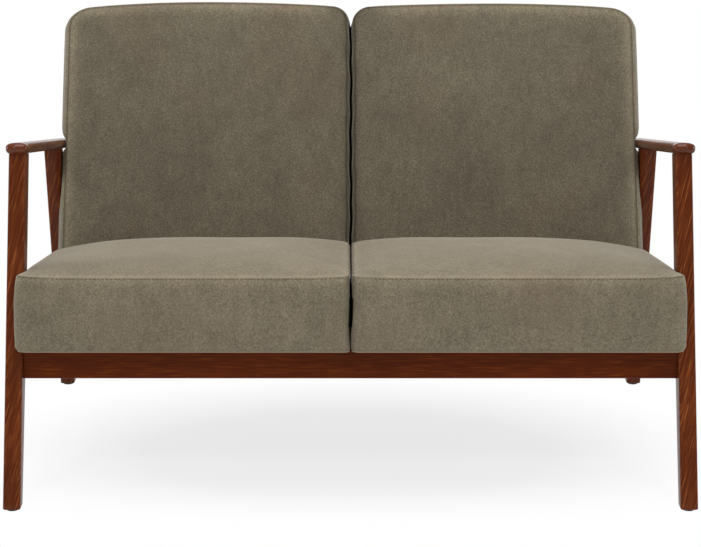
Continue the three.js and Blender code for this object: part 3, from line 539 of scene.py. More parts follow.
def rounded_section(steps=6):
    """Corner signs and directions round a section: each corner turns through a quarter circle."""
    signs, turns = [], []
    for k, (sx, sy) in enumerate([(-1, -1), (1, -1), (1, 1), (-1, 1)]):
        turn = math.pi * (1 + k / 2) + np.linspace(0, math.pi / 2, steps)
        signs.append(np.tile([sx, sy], (steps, 1)))
        turns.append(turn)
    signs, turns = np.concatenate(signs).astype(float), np.concatenate(turns)
    return signs, np.stack([np.cos(turns), np.sin(turns)], axis=-1)


def section_points(width, depth):
    """Each corner's middle lies in by the edge radius; the point lies out from it by as much."""
    signs, way = rounded_section()
    x = signs[:, 0] * (width[:, None] / 2 - EDGE_RADIUS) + way[:, 0] * EDGE_RADIUS
    y = signs[:, 1] * (depth[:, None] / 2 - EDGE_RADIUS) + way[:, 1] * EDGE_RADIUS
    return x, y


def leg_rings(front, depth_at, width_at, rake):
    """Rings up a leg: eased at the foot, then straight, then bent up to the armrest's underside."""
    turn = np.linspace(0, math.pi / 2, 5)
    foot = FOOT_LIFT + FOOT_CHAMFER * (1 - np.cos(turn))
    ease = FOOT_CHAMFER * (1 - np.sin(turn))
    rise = np.linspace(FOOT_LIFT + FOOT_CHAMFER + 0.01, ARM_TOP - 0.12, 26)
    heights = np.concatenate([foot, rise, [ARM_TOP]])
    inset = np.concatenate([ease, np.zeros(len(rise) + 1)])
    width, depth = width_at(heights) - 2 * inset, depth_at(heights) - 2 * inset
    x, y = section_points(width, depth)
    across = (outer_face(heights) - width_at(heights) / 2)[:, None] + x
    middle = front(heights) + depth_at(heights) / 2
    along = middle[:, None] + y
    z = np.repeat(heights[:, None], x.shape[1], axis=1)
    start = along[-1] - rake * heights[-1]
    top = (ARM_START[2] - GAP - ARM_SLOPE * (start - ARM_START[1])) / (1 + ARM_SLOPE * rake)
    z[-1], along[-1] = top, start + rake * top
    across[-1] += outer_face(top) - outer_face(heights[-1])
    return across, along, z


def drilled(piece, holes):
    """Cuts round holes that lie along X: each is (y, z, radius, from x, to x)."""
    for y, z, radius, x0, x1 in holes:
        turn = round_angles(24)
        ring = np.stack([0 * turn, y + radius * np.cos(turn), z + radius * np.sin(turn)], axis=-1)
        rings = np.stack([ring + (x0, 0, 0), ring + (x1, 0, 0)])
        drill = new_piece("drill", *skinned(rings))
        boolean = piece.modifiers.new("hole", "BOOLEAN")
        boolean.operation, boolean.object, boolean.solver = "DIFFERENCE", drill, "EXACT"
        mesh = bpy.data.meshes.new_from_object(
            piece.evaluated_get(bpy.context.evaluated_depsgraph_get())
        )
        piece.modifiers.clear()
        piece.data = mesh
        bpy.data.objects.remove(drill)
    return piece


def bolt_holes(side, bolt):
    """The counterbore and the shank's hole of a bolt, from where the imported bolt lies."""
    low, high = (np.array(corner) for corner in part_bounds(f"right_{bolt}"))
    y, z = (low + high)[1:] / 2
    out, end = float(high[0]), float(low[0])
    holes = [
        (y, z, HEAD_HOLE_RADIUS, out - HEAD_HOLE_DEPTH, out + 0.02),
        (y, z, SHANK_HOLE_RADIUS, end - GAP, out),
    ]
    return [(y, z, r, *sorted((side * a, side * b))) for y, z, r, a, b in holes]


def leg(side_name, name, lines, bolt):
    """A leg from its rings, with its grain stored as across, through and along."""
    side = SIDES[side_name]
    front, depth_at, width_at, rake = lines
    across, along, z = leg_rings(*lines)
    rings = in_frame(side * across, along, z)
    piece = new_piece(f"{side_name}_{name}_dressed", *skinned(rings))
    drilled(piece, bolt_holes(side, bolt))
    place = points_of(piece)
    middle = front(place[:, 2]) + depth_at(place[:, 2]) / 2 + FLOOR_FRONT
    grain = np.stack([
        place[:, 0] - side * outer_face(place[:, 2]) - STREAK_LEAN * place[:, 2],
        place[:, 1] - middle,
        place[:, 2] + side,
    ], axis=-1)
    set_values(piece, "grain", grain)
    shade(piece, 30)
    return settle(piece, LACQUERED, "lacquered_beech", f"{side_name}_{name}")


FRONT_LEG = (front_leg_front, front_leg_depth, front_leg_width, FRONT_RAKE)
REAR_LEG = (rear_leg_front, rear_leg_depth, rear_leg_width, -REAR_RAKE)
for side_name in SIDES:
    leg(side_name, "front_leg", FRONT_LEG, "front_rail_bolt")
    made = leg(side_name, "rear_leg", REAR_LEG, "back_leg_bolt")
    print(made.name, "faces", len(made.data.polygons))

# %% [markdown]
# ## Armrests
#
# Each armrest is one bar, flat underneath and crowned on top, with a rounded nose that stands out
# in front of the leg like a knob. It is necked in a little behind the nose. The section is a
# rounded oval whose belly is cut off flat where it sits on the legs.

# %% Armrests
ARM_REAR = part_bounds("right_armrest")[1][1] - FLOOR_FRONT
NOSE_REACH, NOSE_DEPTH, TAIL_DEPTH = 0.015, 0.013, 0.008


def in_arm(x, along, up):
    """Side view points of the armrest's own frame, which tilts down to the rear."""
    y = ARM_START[1] + along * math.cos(ARM_TILT) + up * math.sin(ARM_TILT)
    z = ARM_START[2] - along * math.sin(ARM_TILT) + up * math.cos(ARM_TILT)
    return in_frame(ARM_START[0] + x, y, z)


def arm_rings():
    """Stations along the bar; a quarter ellipse closes each end, the section a softened oval."""
    turn = np.linspace(0.06, math.pi / 2, 12)
    rear = (ARM_REAR - ARM_START[1] - ARM_THICKNESS * math.sin(ARM_TILT)) / math.cos(ARM_TILT)
    nose = -NOSE_REACH + NOSE_DEPTH * (1 - np.cos(turn))
    bar = np.linspace(0.001, rear - 0.011, 30)
    tail = rear - TAIL_DEPTH * (1 - np.cos(turn[::-1]))
    along = np.concatenate([nose, bar, tail])
    girth = np.concatenate([np.sin(turn), np.ones(30), np.sin(turn[::-1])])
    stations = [-0.002, 0.008, 0.020, 0.034, rear]
    width = np.interp(along, stations, [ARM_WIDTH, 0.0375, 0.036, 0.0361, ARM_WIDTH])
    around = round_angles(56)
    across = np.sign(np.cos(around)) * np.abs(np.cos(around)) ** 0.8
    rise = np.sign(np.sin(around)) * np.abs(np.sin(around)) ** 0.8
    flat = np.maximum(-1, np.where(rise < 0, rise * 1.25, rise))
    x = across[None, :] * (girth * width / 2)[:, None]
    up = ARM_THICKNESS / 2 * (1 + flat[None, :] * girth[:, None])
    return x, np.repeat(along[:, None], len(around), axis=1), up


def armrest(side_name):
    """An armrest from its rings, with its grain running along the bar."""
    side = SIDES[side_name]
    x, along, up = arm_rings()
    rings = in_arm(x, along, up) * (side, 1, 1)
    piece = new_piece(f"{side_name}_armrest_dressed", *skinned(rings))
    drilled(piece, bolt_holes(side, "back_arm_bolt"))
    place = points_of(piece)
    y = place[:, 1] - FLOOR_FRONT - ARM_START[1]
    z = place[:, 2] - ARM_START[2]
    run = y * math.cos(ARM_TILT) - z * math.sin(ARM_TILT)
    lift = y * math.sin(ARM_TILT) + z * math.cos(ARM_TILT)
    set_values(piece, "grain", np.stack([place[:, 0], lift, run + 3 * side], axis=-1))
    shade(piece, 50)
    return settle(piece, ARM_LACQUER, "lacquered_beech", f"{side_name}_armrest")


for side_name in SIDES:
    made = armrest(side_name)
print("armrest length:", round(float(np.ptp(points_of(made)[:, 1])), 4))

# %% [markdown]
# ## Rails
#
# The front rail is a board on edge between the front legs, with its lower edges rounded over. The
# side rails, the rear rail and the bearer under the middle are plain boards. They keep the packed
# part's shape, holes and tenons, and get the small eased edge that sandpaper gives.

# %% Rails
RAIL_HEIGHT, RAIL_THICKNESS, RAIL_SET_BACK = 0.060, 0.022, 0.0194
RAIL_ROUNDING, RAIL_EASE = 0.003, 0.0008


def under_seats(y):
    """Height just under the tilted seats at a side view depth."""
    return SEAT_BOTTOM - math.tan(SEAT_TILT) * (y - SEAT_FRONT) - GAP


def front_rail():
    """A profile with rounded lower edges, carried between the legs' leaning inner faces."""
    bottom = SEAT_BOTTOM - RAIL_HEIGHT
    front = FRONT_RAKE * bottom + RAIL_SET_BACK
    rear, r, ease = front + RAIL_THICKNESS, RAIL_ROUNDING, RAIL_EASE
    turn = np.linspace(0, math.pi / 2, 7)
    y = np.concatenate([
        front + r - r * np.cos(turn),
        rear - r + r * np.sin(turn),
        [rear, rear - ease, front + ease, front],
    ])
    z = np.concatenate([
        bottom + r - r * np.sin(turn),
        bottom + r - r * np.cos(turn),
        [under_seats(rear) - ease, under_seats(rear)],
        [under_seats(front), under_seats(front) - ease],
    ])
    share = np.linspace(-1, 1, 61)
    reach = outer_face(z) - front_leg_width(z) - GAP
    rings = in_frame(share[:, None] * reach[None, :], y[None, :], z[None, :])
    piece = new_piece("front_rail_dressed", *skinned(rings))
    for side in SIDES.values():
        drilled(piece, bolt_holes(side, "front_rail_bolt")[1:])
    place = points_of(piece)
    set_values(piece, "grain", place[:, [2, 1, 0]])
    shade(piece, 30)
    return settle(piece, RAIL_LACQUER_PAINTED_SHADE, "lacquered_beech", "front_rail")


def eased_board(node, grain_axes, slot="lacquered_beech", material=LACQUERED, ease=0.0012):
    """A copy of a packed board, its doubles merged and its sharp edges eased."""
    mesh = frame["nodes"][node].data.copy()
    board = bmesh.new()
    board.from_mesh(mesh)
    bmesh.ops.remove_doubles(board, verts=board.verts, dist=1e-6)
    bmesh.ops.dissolve_limit(
        board, angle_limit=math.radians(0.5), verts=board.verts, edges=board.edges
    )
    board.to_mesh(mesh)
    board.free()
    piece = bpy.data.objects.new(f"{node}_dressed", mesh)
    scene.collection.objects.link(piece)
    bevel = piece.modifiers.new("eased edges", "BEVEL")
    bevel.width, bevel.segments, bevel.limit_method = ease, 2, "ANGLE"
    bevel.angle_limit = math.radians(50)
    place = points_of(piece)
    set_values(piece, "grain", place[:, grain_axes])
    shade(piece, 40)
    return settle(piece, material, slot, node)


rails = [front_rail()]
for side_name in SIDES:
    rails.append(eased_board(f"{side_name}_side_rail", [0, 2, 1]))
rails.append(eased_board("rear_rail", [2, 1, 0]))
rails.append(eased_board("centre_bearer", [0, 2, 1]))
print("rails:", ", ".join(rail.name for rail in rails))

# %% [markdown]
# ## Panels of cloth
#
# A seat or back unit is sewn from panels: a crowned face, a boxing strip round the sides, and a
# turned-in lip round the open underside or rear. The face and the underside are grids filled in
# between four edges, and the boxing is a stack of rings between them. Points lie closer near the
# corners and the seams, where the cloth bends most.

# %% Panels of cloth
def side_run(start_radius, end_radius, length, count):
    """Distances along one side from corner middle to corner middle, closer near the corners."""
    total = (start_radius + end_radius) * math.pi / 4 + length
    share = np.arange(count) / count
    gathered = share - 0.55 * np.sin(2 * math.pi * share) / (2 * math.pi)
    return gathered * total


def outline(low, high, radii, across, along):
    """Points round a rectangle with rounded corners, from the middle of the first corner's arc.

    Each side is half an arc, a straight run and half an arc; a distance along the side picks which.
    """
    corners = np.array([[low[0], low[1]], [high[0], low[1]], [high[0], high[1]], [low[0], high[1]]])
    inward = np.array([[1, 1], [-1, 1], [-1, -1], [1, -1]])
    middles = corners + inward * np.asarray(radii)[:, None]
    points = []
    for k, count in enumerate([across, along, across, along]):
        r0, r1 = radii[k], radii[(k + 1) % 4]
        m0, m1 = middles[k], middles[(k + 1) % 4]
        way = np.array([[1, 0], [0, 1], [-1, 0], [0, -1]][k], float)
        out = np.array([way[1], -way[0]])
        length = float((m1 - m0) @ way)
        s = side_run(r0, r1, length, count)
        arc0, straight_end = r0 * math.pi / 4, r0 * math.pi / 4 + length
        turn0 = np.clip((arc0 - s) / r0, 0, math.pi / 4)
        turn1 = np.clip((s - straight_end) / r1, 0, math.pi / 4)
        run = np.clip(s - arc0, 0, length)
        base = m0 + run[:, None] * way + (m1 - m0 - length * way) * (run / length)[:, None]
        blended = r0 + (r1 - r0) * run / length
        radius = np.where(s < arc0, r0, np.where(s < straight_end, blended, r1))
        angle = (turn1 - turn0)[:, None]
        points.append(base + radius[:, None] * (np.cos(angle) * out + np.sin(angle) * way))
    return np.concatenate(points)


def drawn_in_radii(radii, inset):
    """Corner radii of an outline that is drawn in by an inset, never under four millimetres."""
    return [max(radius - inset, 0.004) for radius in radii]


def barrel(share):
    """How full a side is at a share of the way between its seams: a power of the sine."""
    return math.sin(math.pi * share) ** 0.6


def share_out(x, low, high):
    """-1 at the inner edge, 0 in the middle, 1 at the outer edge."""
    middle = (low + high) / 2
    return (x - middle) / (high - middle)


def filled(loop, across, along):
    """Grid filled in between the four edges of a closed loop: opposite edges are blended.

    A point is the blend of the lower and upper edge plus that of the left and right edge, less
    the blend of the four corners.
    """
    lower = loop[: across + 1]
    right = loop[across : across + along + 1]
    upper = loop[across + along : 2 * across + along + 1][::-1]
    left = np.concatenate([loop[2 * across + along :], loop[:1]])[::-1]
    u = np.linspace(0, 1, across + 1)[None, :, None]
    v = np.linspace(0, 1, along + 1)[:, None, None]
    ruled = (1 - v) * lower[None] + v * upper[None] + (1 - u) * left[:, None] + u * right[:, None]
    corners = (1 - u) * (1 - v) * lower[0] + u * (1 - v) * lower[-1]
    return ruled - corners - (1 - u) * v * upper[0] - u * v * upper[-1]


def grid_loop(index):
    """Indices of a grid's edge points in the order of its outline."""
    return np.concatenate([index[0, :-1], index[:-1, -1], index[-1, :0:-1], index[:0:-1, 0]])


def rounded_lip(radius):
    """Steps (rise, inset) of a quarter circle from the side of a cover round to its mouth."""
    turn = np.linspace(0, math.pi / 2, 6)
    return [(radius * (1 - math.sin(t)), radius * (1 - math.cos(t))) for t in turn]


def sewn(face, rings, under):
    """One closed surface: a face grid, rings round the sides, and an underside grid.

    The first and last rings are the grids' own edges, so only the rings between are new points.
    """
    face_index = point_indices(*face.shape[:2])
    under_index = face_index + face_index.size
    middle = point_indices(len(rings), len(rings[0])) + 2 * face_index.size
    stack = np.concatenate([[grid_loop(face_index)], middle, [grid_loop(under_index)]])
    after = np.roll(stack, -1, axis=1)
    sides = np.stack([stack[:-1], stack[1:], after[1:], after[:-1]], axis=-1).reshape(-1, 4)
    faces = np.concatenate([grid_quads(face_index), sides, grid_quads(under_index)[:, ::-1]])
    points = np.concatenate([face.reshape(-1, 3), under.reshape(-1, 3), *rings])
    return points, faces.tolist()


def on_face_seam(points, across, along):
    """Which points of a sewn form lie on the seam round its face."""
    chosen = np.zeros(len(points), bool)
    chosen[grid_loop(point_indices(along + 1, across + 1))] = True
    return chosen


# %% [markdown]
# ## Stuffing
#
# The cover is stretched over foam, so each panel swells between its seams. The sewn form starts
# slightly slack, its seams are held, and air pressure in a cloth simulation fills it out. How far
# a point may move is capped, because real foam only gives so much.

# %% Stuffing
def swollen(points, faces, held, cap):
    """Points after the cloth is filled: the simulated move, shortened where it passes the cap."""
    form = new_piece("slack_cover", points, faces)
    group = form.vertex_groups.new(name="seams")
    group.add(np.flatnonzero(held).tolist(), 1.0, "REPLACE")
    cloth = form.modifiers.new("filling", "CLOTH")
    settings = cloth.settings
    settings.quality = 5
    settings.mass = 0.25
    settings.tension_stiffness = settings.compression_stiffness = 22
    settings.shear_stiffness = 12
    settings.bending_stiffness = 2.5
    settings.use_pressure = True
    settings.uniform_pressure_force = 4.0
    settings.vertex_group_mass = "seams"
    settings.effector_weights.gravity = 0
    for step in range(1, 21):
        scene.frame_set(step)
    filled_form = form.evaluated_get(bpy.context.evaluated_depsgraph_get())
    flat = np.empty(len(points) * 3, np.float32)
    filled_form.data.vertices.foreach_get("co", flat)
    move = evened(flat.reshape(-1, 3) - points, faces, held)
    length = np.linalg.norm(move, axis=1, keepdims=True)
    scene.frame_set(1)
    bpy.data.objects.remove(form)
    print("cloth moved by up to", round(float(length.max()), 4))
    return points + move * np.minimum(1, cap / np.maximum(length, 1e-9))


def evened(move, faces, held, rounds=16):
    """Moves averaged with their neighbours' time after time, as foam evens out small creases."""
    quads = np.array([face for face in faces if len(face) == 4])
    start, end = np.concatenate([quads[:, [k, (k + 1) % 4]] for k in range(4)]).T
    count = np.maximum(np.bincount(start, minlength=len(move)), 1)[:, None]
    for _ in range(rounds):
        total = np.zeros_like(move)
        np.add.at(total, start, move[end])
        move = np.where(held[:, None], 0, (move + total / count) / 2)
    return move


def pressed_together(points, side):
    """Where the two units press on each other the contact bends to and fro by a millimetre or two.

    The shift is a wave along the contact's height and depth, and dies away from it as a bell.
    """
    x, y, z = points.T
    wave = 0.0007 + 0.0006 * np.sin(29 * z + 1.1) + 0.0010 * np.sin(150 * y + 40 * z)
    near = np.exp(-((x / 0.05) ** 2))
    moved = points.copy()
    moved[:, 0] = side * x + wave * near
    return moved


def seam_shares(distance, width):
    """1 on the seam, falling off like a bell over the width."""
    return np.exp(-((distance / width) ** 2))


# %% [markdown]
# ## Seat units
#
# A seat unit is a firm box cushion on a wooden frame. Its front corners swell out over the faces
# of the front legs, its sides are flat where they pass the legs, and at the rear it is drawn in
# above the heel, where the back unit comes close. A stitched seam runs round under the top panel,
# and a thin welt closes the lower edge.

# %% Seat units: the form
SEAT_ACROSS, SEAT_ALONG = 84, 66
SEAM_HEIGHT = 0.141
SEAM_LEVEL = SEAT_BOTTOM + SEAM_HEIGHT
LEG_CLEARANCE = 0.0008
SEAT_HALF = float(outer_face(SEAM_LEVEL) - front_leg_width(SEAM_LEVEL)) - LEG_CLEARANCE
SEAT_INNER = 0.0017
TOUCH = 0.0001
CROWN = 0.0155
CROWN_POWERS = (12, 4, 10)
REAR_FALL, INNER_FALL, FRONT_FALL = 0.0185, 0.0060, 0.0045
FALL_FORWARD = 0.35
SEAT_SLACK = 0.0022
SEAT_LIP = 0.010
SEAT_RADII = (0.012, 0.016, 0.016, 0.012)


def in_seat(p):
    """The seat's own points (across, depth, height) in the part's frame."""
    x, y, h = np.moveaxis(np.asarray(p), -1, 0)
    rear = SEAT_FRONT + y * math.cos(SEAT_TILT) + h * math.sin(SEAT_TILT)
    return in_frame(x, rear, SEAT_BOTTOM - y * math.sin(SEAT_TILT) + h * math.cos(SEAT_TILT))


def leg_front_in_seat(h):
    """Where the leg's front edge crosses the seat's depth at a height."""
    z = SEAT_BOTTOM + h
    return (front_leg_front(z) - SEAT_FRONT) * math.cos(SEAT_TILT) - h * math.sin(SEAT_TILT)


def before_leg(y, h):
    """1 well in front of a leg's face, falling to 0 just before it."""
    return np.clip((leg_front_in_seat(h) - 0.0006 - y) / 0.009, 0, 1)


def seat_rear(h):
    """Depth of the seat: its heel, then drawn in by 20 mm, easing to 2 mm at the seam."""
    drawn_in = np.interp(h, [0.062, SEAM_HEIGHT], [0.020, 0.002])
    return HEEL_DEPTH - drawn_in * eased((h - HEEL_HEIGHT) / 0.010)


def seat_ear(share):
    """How far a front corner stands out over the leg's face, at a share of the seam's height."""
    heights = [0, 0.08, 0.3, 0.65, 0.9, 1]
    return np.interp(share, heights, [0.0105, 0.0150, 0.0170, 0.0165, 0.0120, 0.0075])


def seat_between(y, h):
    """Inner side of a seat: open by 1.7 mm at its front and its top, touching deeper in.

    Low down the opening closes gently, so that the two seats meet above their lower edges.
    """
    deep = eased((y - 0.055) / 0.03) * eased((SEAM_HEIGHT - h - 0.018) / 0.025)
    return TOUCH + (SEAT_INNER - TOUCH) * (1 - deep) * eased((h - 0.004) / 0.05)


def seat_settled(p):
    """Towards the rear the side by the arm sinks, seams and all, and the inner edge a little.

    It sinks with the depth and with the square of the distance out from the middle, and what
    sinks comes forward a little, clear of the back unit. The inner edge sinks with the
    twenty-fourth power, so only its last centimetre rounds off. The front seam rolls down a
    little between its corners, as a bell of the depth.
    """
    x, y, h = np.moveaxis(p, -1, 0)
    across = np.clip((x - SEAT_HALF / 2) / (SEAT_HALF / 2), -1, 1)
    fall = np.where(across > 0, REAR_FALL * across**2, INNER_FALL * across**24)
    upper = eased((h - 0.06) / (SEAM_HEIGHT - 0.06))
    fall = fall * upper * np.clip(y / HEEL_DEPTH, 0, 1)
    rolled = FRONT_FALL * upper * (1 - across**8) * np.exp(-((y / 0.025) ** 2))
    return np.stack([x, y - FALL_FORWARD * fall, h - fall - rolled], axis=-1)


def seat_ring(h, inset, slack=0.0):
    """Outline at a height, drawn in by the inset; the slack is how far panels sag from full.

    The front swells as a power of the sine of the height's share, most in the middle. The
    corner's ear swells with the fourth power of the distance out, and closes before the leg's
    front face.
    """
    share = np.clip(h / SEAM_HEIGHT, 0, 1)
    full = barrel(share)
    give = slack * full
    low = np.array([inset, inset + give])
    high = np.array([SEAT_HALF - inset - give, seat_rear(h) - inset - give])
    p = outline(low, high, drawn_in_radii(SEAT_RADII, inset), SEAT_ACROSS, SEAT_ALONG)
    out = share_out(p[:, 0], low[0], high[0])
    before = before_leg(p[:, 1], share * SEAM_HEIGHT)
    in_front = np.clip(1 - (p[:, 1] - low[1]) / 0.016, 0, 1)
    x = p[:, 0] + seat_ear(share) * np.clip(out, 0, 1.2) ** 4 * before
    x = x + seat_between(p[:, 1], h) * np.clip(-out, 0, 1)
    y = p[:, 1] - 0.003 * full * (1 - np.minimum(1, out**2)) * in_front
    return np.stack([x, y, np.full(len(x), h)], axis=-1)


def crowned(grid, crown, powers=(7, 7, 7)):
    """Raises a grid by the crown times one less the share out from the middle, to a power.

    The powers are those across, towards the near edge and towards the far edge.
    """
    low, high = grid[..., :2].min(axis=(0, 1)), grid[..., :2].max(axis=(0, 1))
    place = (grid[..., :2] - (low + high) / 2) / ((high - low) / 2)
    across, along = np.abs(place[..., 0]), np.abs(place[..., 1])
    power = np.where(place[..., 1] < 0, powers[1], powers[2])
    rise = (1 - across ** powers[0]) * (1 - along**power)
    lifted = grid.copy()
    lifted[..., 2] += crown * rise
    return lifted


def seat_form():
    """Points and faces of a seat unit, slightly slack."""
    fine = np.array([0.0012, 0.003, 0.006])
    heights = np.concatenate([
        SEAM_HEIGHT - fine, np.linspace(SEAM_HEIGHT - 0.014, 0.020, 13), [0.014],
    ])
    top_edge = seat_ring(SEAM_HEIGHT, 0.0012)
    top = crowned(filled(top_edge, SEAT_ACROSS, SEAT_ALONG), CROWN, CROWN_POWERS)
    rings = [seat_ring(h, 0.0, SEAT_SLACK) for h in heights]
    mouth = [(0.0001, 0.020), (0.0001, 0.0285), (0.0012, 0.0298), (0.0042, 0.0300)]
    rings += [seat_ring(h, inset) for h, inset in [*rounded_lip(SEAT_LIP), *mouth]]
    under = filled(seat_ring(0.0042, 0.034), SEAT_ACROSS, SEAT_ALONG)
    points, faces = sewn(top, rings, under)
    return seat_settled(points), faces


def seat_kept_clear(p):
    """Keeps the swollen cover off its neighbours: its frame's floor, the legs, the other seat."""
    x, y, h = p.T
    low = np.clip(h, 0, SEAM_HEIGHT)
    swell = (seat_ear(low / SEAM_HEIGHT) + 0.002) * before_leg(y, low)
    x = np.clip(x, np.minimum(seat_between(y, low), 0.002), SEAT_HALF + swell)
    y = np.clip(y, -0.006, seat_rear(low))
    return np.stack([x, y, np.maximum(h, 0)], axis=-1)


seat_points, seat_faces = seat_form()
seat_edge = on_face_seam(seat_points, SEAT_ACROSS, SEAT_ALONG)
seat_held = seat_edge | (seat_points[:, 2] < SEAT_LIP + 0.002)
seat_full = seat_kept_clear(swollen(seat_points, seat_faces, seat_held, cap=0.010))
print("seat unit:", len(seat_points), "points, height", round(float(np.ptp(seat_full[:, 2])), 4))

# %% [markdown]
# Back units come next. Each is a reclined slab with a crowned front, wide rounded upper corners
# and flat sides that narrow towards the top. Its front panel is sewn to the boxing all round. It
# is squeezed a little between the armrest and where the rear leg passes it.

# %% Back units: the form
BACK_ACROSS, BACK_ALONG = 80, 78
HEEL_LEVEL = SEAT_BOTTOM - HEEL_DEPTH * math.sin(SEAT_TILT) + HEEL_HEIGHT * math.cos(SEAT_TILT)
BACK_FOOT = HEEL_REAR - 0.0053 - HEEL_LEVEL * math.tan(RECLINE)
BACK_BOTTOM = (HEEL_LEVEL + 0.0092) / math.cos(RECLINE)
BACK_TOP = BACK_BOTTOM + 0.566
BACK_THICKNESS = 0.112
BACK_HALF = float(outer_face(BACK_BOTTOM * math.cos(RECLINE))) - REAR_LEG_WIDTH - 0.0111
BACK_TAPER = 0.0185
BACK_SWELL = 0.020
BACK_WIDEST = 0.604
BACK_CROWN = 0.009
BACK_SLACK = 0.003
BACK_LIP = 0.008
BACK_RADII = (0.014, 0.014, 0.044, 0.031)
ARM_INNER = ARM_START[0] - ARM_WIDTH / 2


def in_back(p):
    """The back's own points (across, along the recline, into the back) in the part's frame."""
    x, along, into = np.moveaxis(np.asarray(p), -1, 0)
    y = BACK_FOOT + along * math.sin(RECLINE) + into * math.cos(RECLINE)
    return in_frame(x, y, along * math.cos(RECLINE) - into * math.sin(RECLINE))


def arm_middle_on_back(into):
    """Distance along the recline that lies level with the armrest's middle."""
    y = BACK_FOOT + into * math.cos(RECLINE)
    level = ARM_START[2] - ARM_SLOPE * (y - ARM_START[1])
    level = level + ARM_THICKNESS / 2 / math.cos(ARM_TILT) + into * math.sin(RECLINE)
    return level / (math.cos(RECLINE) + ARM_SLOPE * math.sin(RECLINE))


def back_limit(along, into):
    """How far out the side may stand: to the armrest in its groove, to the rear leg beside it.

    Before the leg's front face and behind its rear face the side is free to swell past it.
    """
    height = along * math.cos(RECLINE) - into * math.sin(RECLINE)
    depth = BACK_FOOT + along * math.sin(RECLINE) + into * math.cos(RECLINE)
    leg_side = outer_face(height) - REAR_LEG_WIDTH - 0.0005
    before = eased((rear_leg_front(height) - 0.0006 - depth) / 0.010)
    behind = eased((depth - rear_leg_front(height) - rear_leg_depth(height) - 0.0006) / 0.010)
    away = along - arm_middle_on_back(into)
    above = eased((away - 0.012) / 0.014)
    free = np.maximum(np.maximum(before, behind), above)
    limit = leg_side + (BACK_WIDEST - leg_side) * free
    groove = eased((0.020 - np.abs(away)) / 0.007)
    return limit + np.minimum(ARM_INNER - GAP - limit, 0) * groove


def back_inner(into):
    """Inner side of a back unit: open at the front seam, then nearly touching the other unit."""
    return TOUCH + 0.0023 * (1 - eased((into - 0.045) / 0.030)) + 0.0044 * math.exp(-into / 0.008)


def back_ring(into, inset, slack=0.0):
    """Outline at a depth into the back, narrowed towards the top, arched a little at the top.

    The outer side swells quickly behind the front seam, as a power of the sine of the depth's
    share, and with the fourth power of the distance out, up to the armrest and the leg.
    """
    full = barrel(np.clip(into / BACK_THICKNESS, 0, 1))
    give = slack * full
    low = np.array([back_inner(into) + inset, BACK_BOTTOM + inset])
    high = np.array([BACK_HALF - inset - give, BACK_TOP - inset - give])
    radii = drawn_in_radii(BACK_RADII, inset)
    p = outline(low, high, radii, BACK_ACROSS, BACK_ALONG)
    out = share_out(p[:, 0], low[0], high[0])
    x = p[:, 0] - np.maximum(0, out) * BACK_TAPER * (p[:, 1] - BACK_BOTTOM)
    x = x + BACK_SWELL * full * np.clip(out, 0, 1.1) ** 4
    top_share = np.clip((p[:, 1] - high[1] + radii[2]) / radii[2], 0, 1)
    fall = np.where(out > 0, 0.014, 0.010) * np.minimum(1, out**2)
    along = p[:, 1] + top_share * (0.006 - fall)
    x = np.minimum(x, back_limit(along, into) - inset)
    return np.stack([x, along, np.full(len(x), into)], axis=-1)


def back_form():
    """Points and faces of a back unit, slightly slack: crowned front, boxing, rear lip."""
    edge = back_ring(0.0010, 0.0022)
    face = crowned(filled(edge, BACK_ACROSS, BACK_ALONG), -BACK_CROWN)
    levels = [(0.0026, 0.0008), (0.0045, 0.0002), (0.0075, 0.0)]
    rings = [back_ring(into, inset) for into, inset in levels]
    depths = np.linspace(0.014, BACK_THICKNESS - 0.014, 11)
    rings += [back_ring(into, 0.0, BACK_SLACK) for into in depths]
    rings += [back_ring(BACK_THICKNESS - rise, inset) for rise, inset in rounded_lip(BACK_LIP)]
    mouth = [
        (BACK_THICKNESS - 0.0001, 0.020),
        (BACK_THICKNESS - 0.0001, 0.0285),
        (0.1106, 0.0298),
        (0.1098, 0.0302),
    ]
    rings += [back_ring(into, inset) for into, inset in mouth]
    rear = filled(back_ring(0.1098, 0.034), BACK_ACROSS, BACK_ALONG)
    return sewn(face, rings, rear)


def back_kept_clear(p):
    """Keeps the swollen back off the legs, the armrest, the other back and the seat below."""
    x, along, into = p.T
    x = np.clip(x, TOUCH, back_limit(along, np.clip(into, 0, BACK_THICKNESS)))
    return np.stack([x, np.maximum(along, BACK_BOTTOM), np.minimum(into, BACK_THICKNESS)], axis=-1)


back_points, back_faces = back_form()
back_edge = on_face_seam(back_points, BACK_ACROSS, BACK_ALONG)
back_held = back_edge | (back_points[:, 2] > BACK_THICKNESS - 0.010)
back_full = back_kept_clear(swollen(back_points, back_faces, back_held, cap=0.012))
print("back unit:", len(back_points), "points, depth", round(float(np.ptp(back_full[:, 2])), 4))

# %% [markdown]
# Both units are then set in place on each side, given one round of subdivision, and told where
# their seams run, so that painted shade darkens the cloth in a seam and a painted highlight makes
# it paler beside it. The right back has sagged by three millimetres at its top, as a used cushion
# does. Near the gap between two units the cloth is darkened by painted shade, and deep in the gap,
# where the units touch, its faces get a near-black cloth without sheen, also painted shade.

# %% Seat and back units: the pieces
CONTACT_REACH = 0.006
BACK_SAG = 0.003
# Painted shade beside the gap, and the share past which a face gets the near-black cloth.
PAINTED_GAP_SHADE, PAINTED_SHADE_FROM = 0.24, 0.4


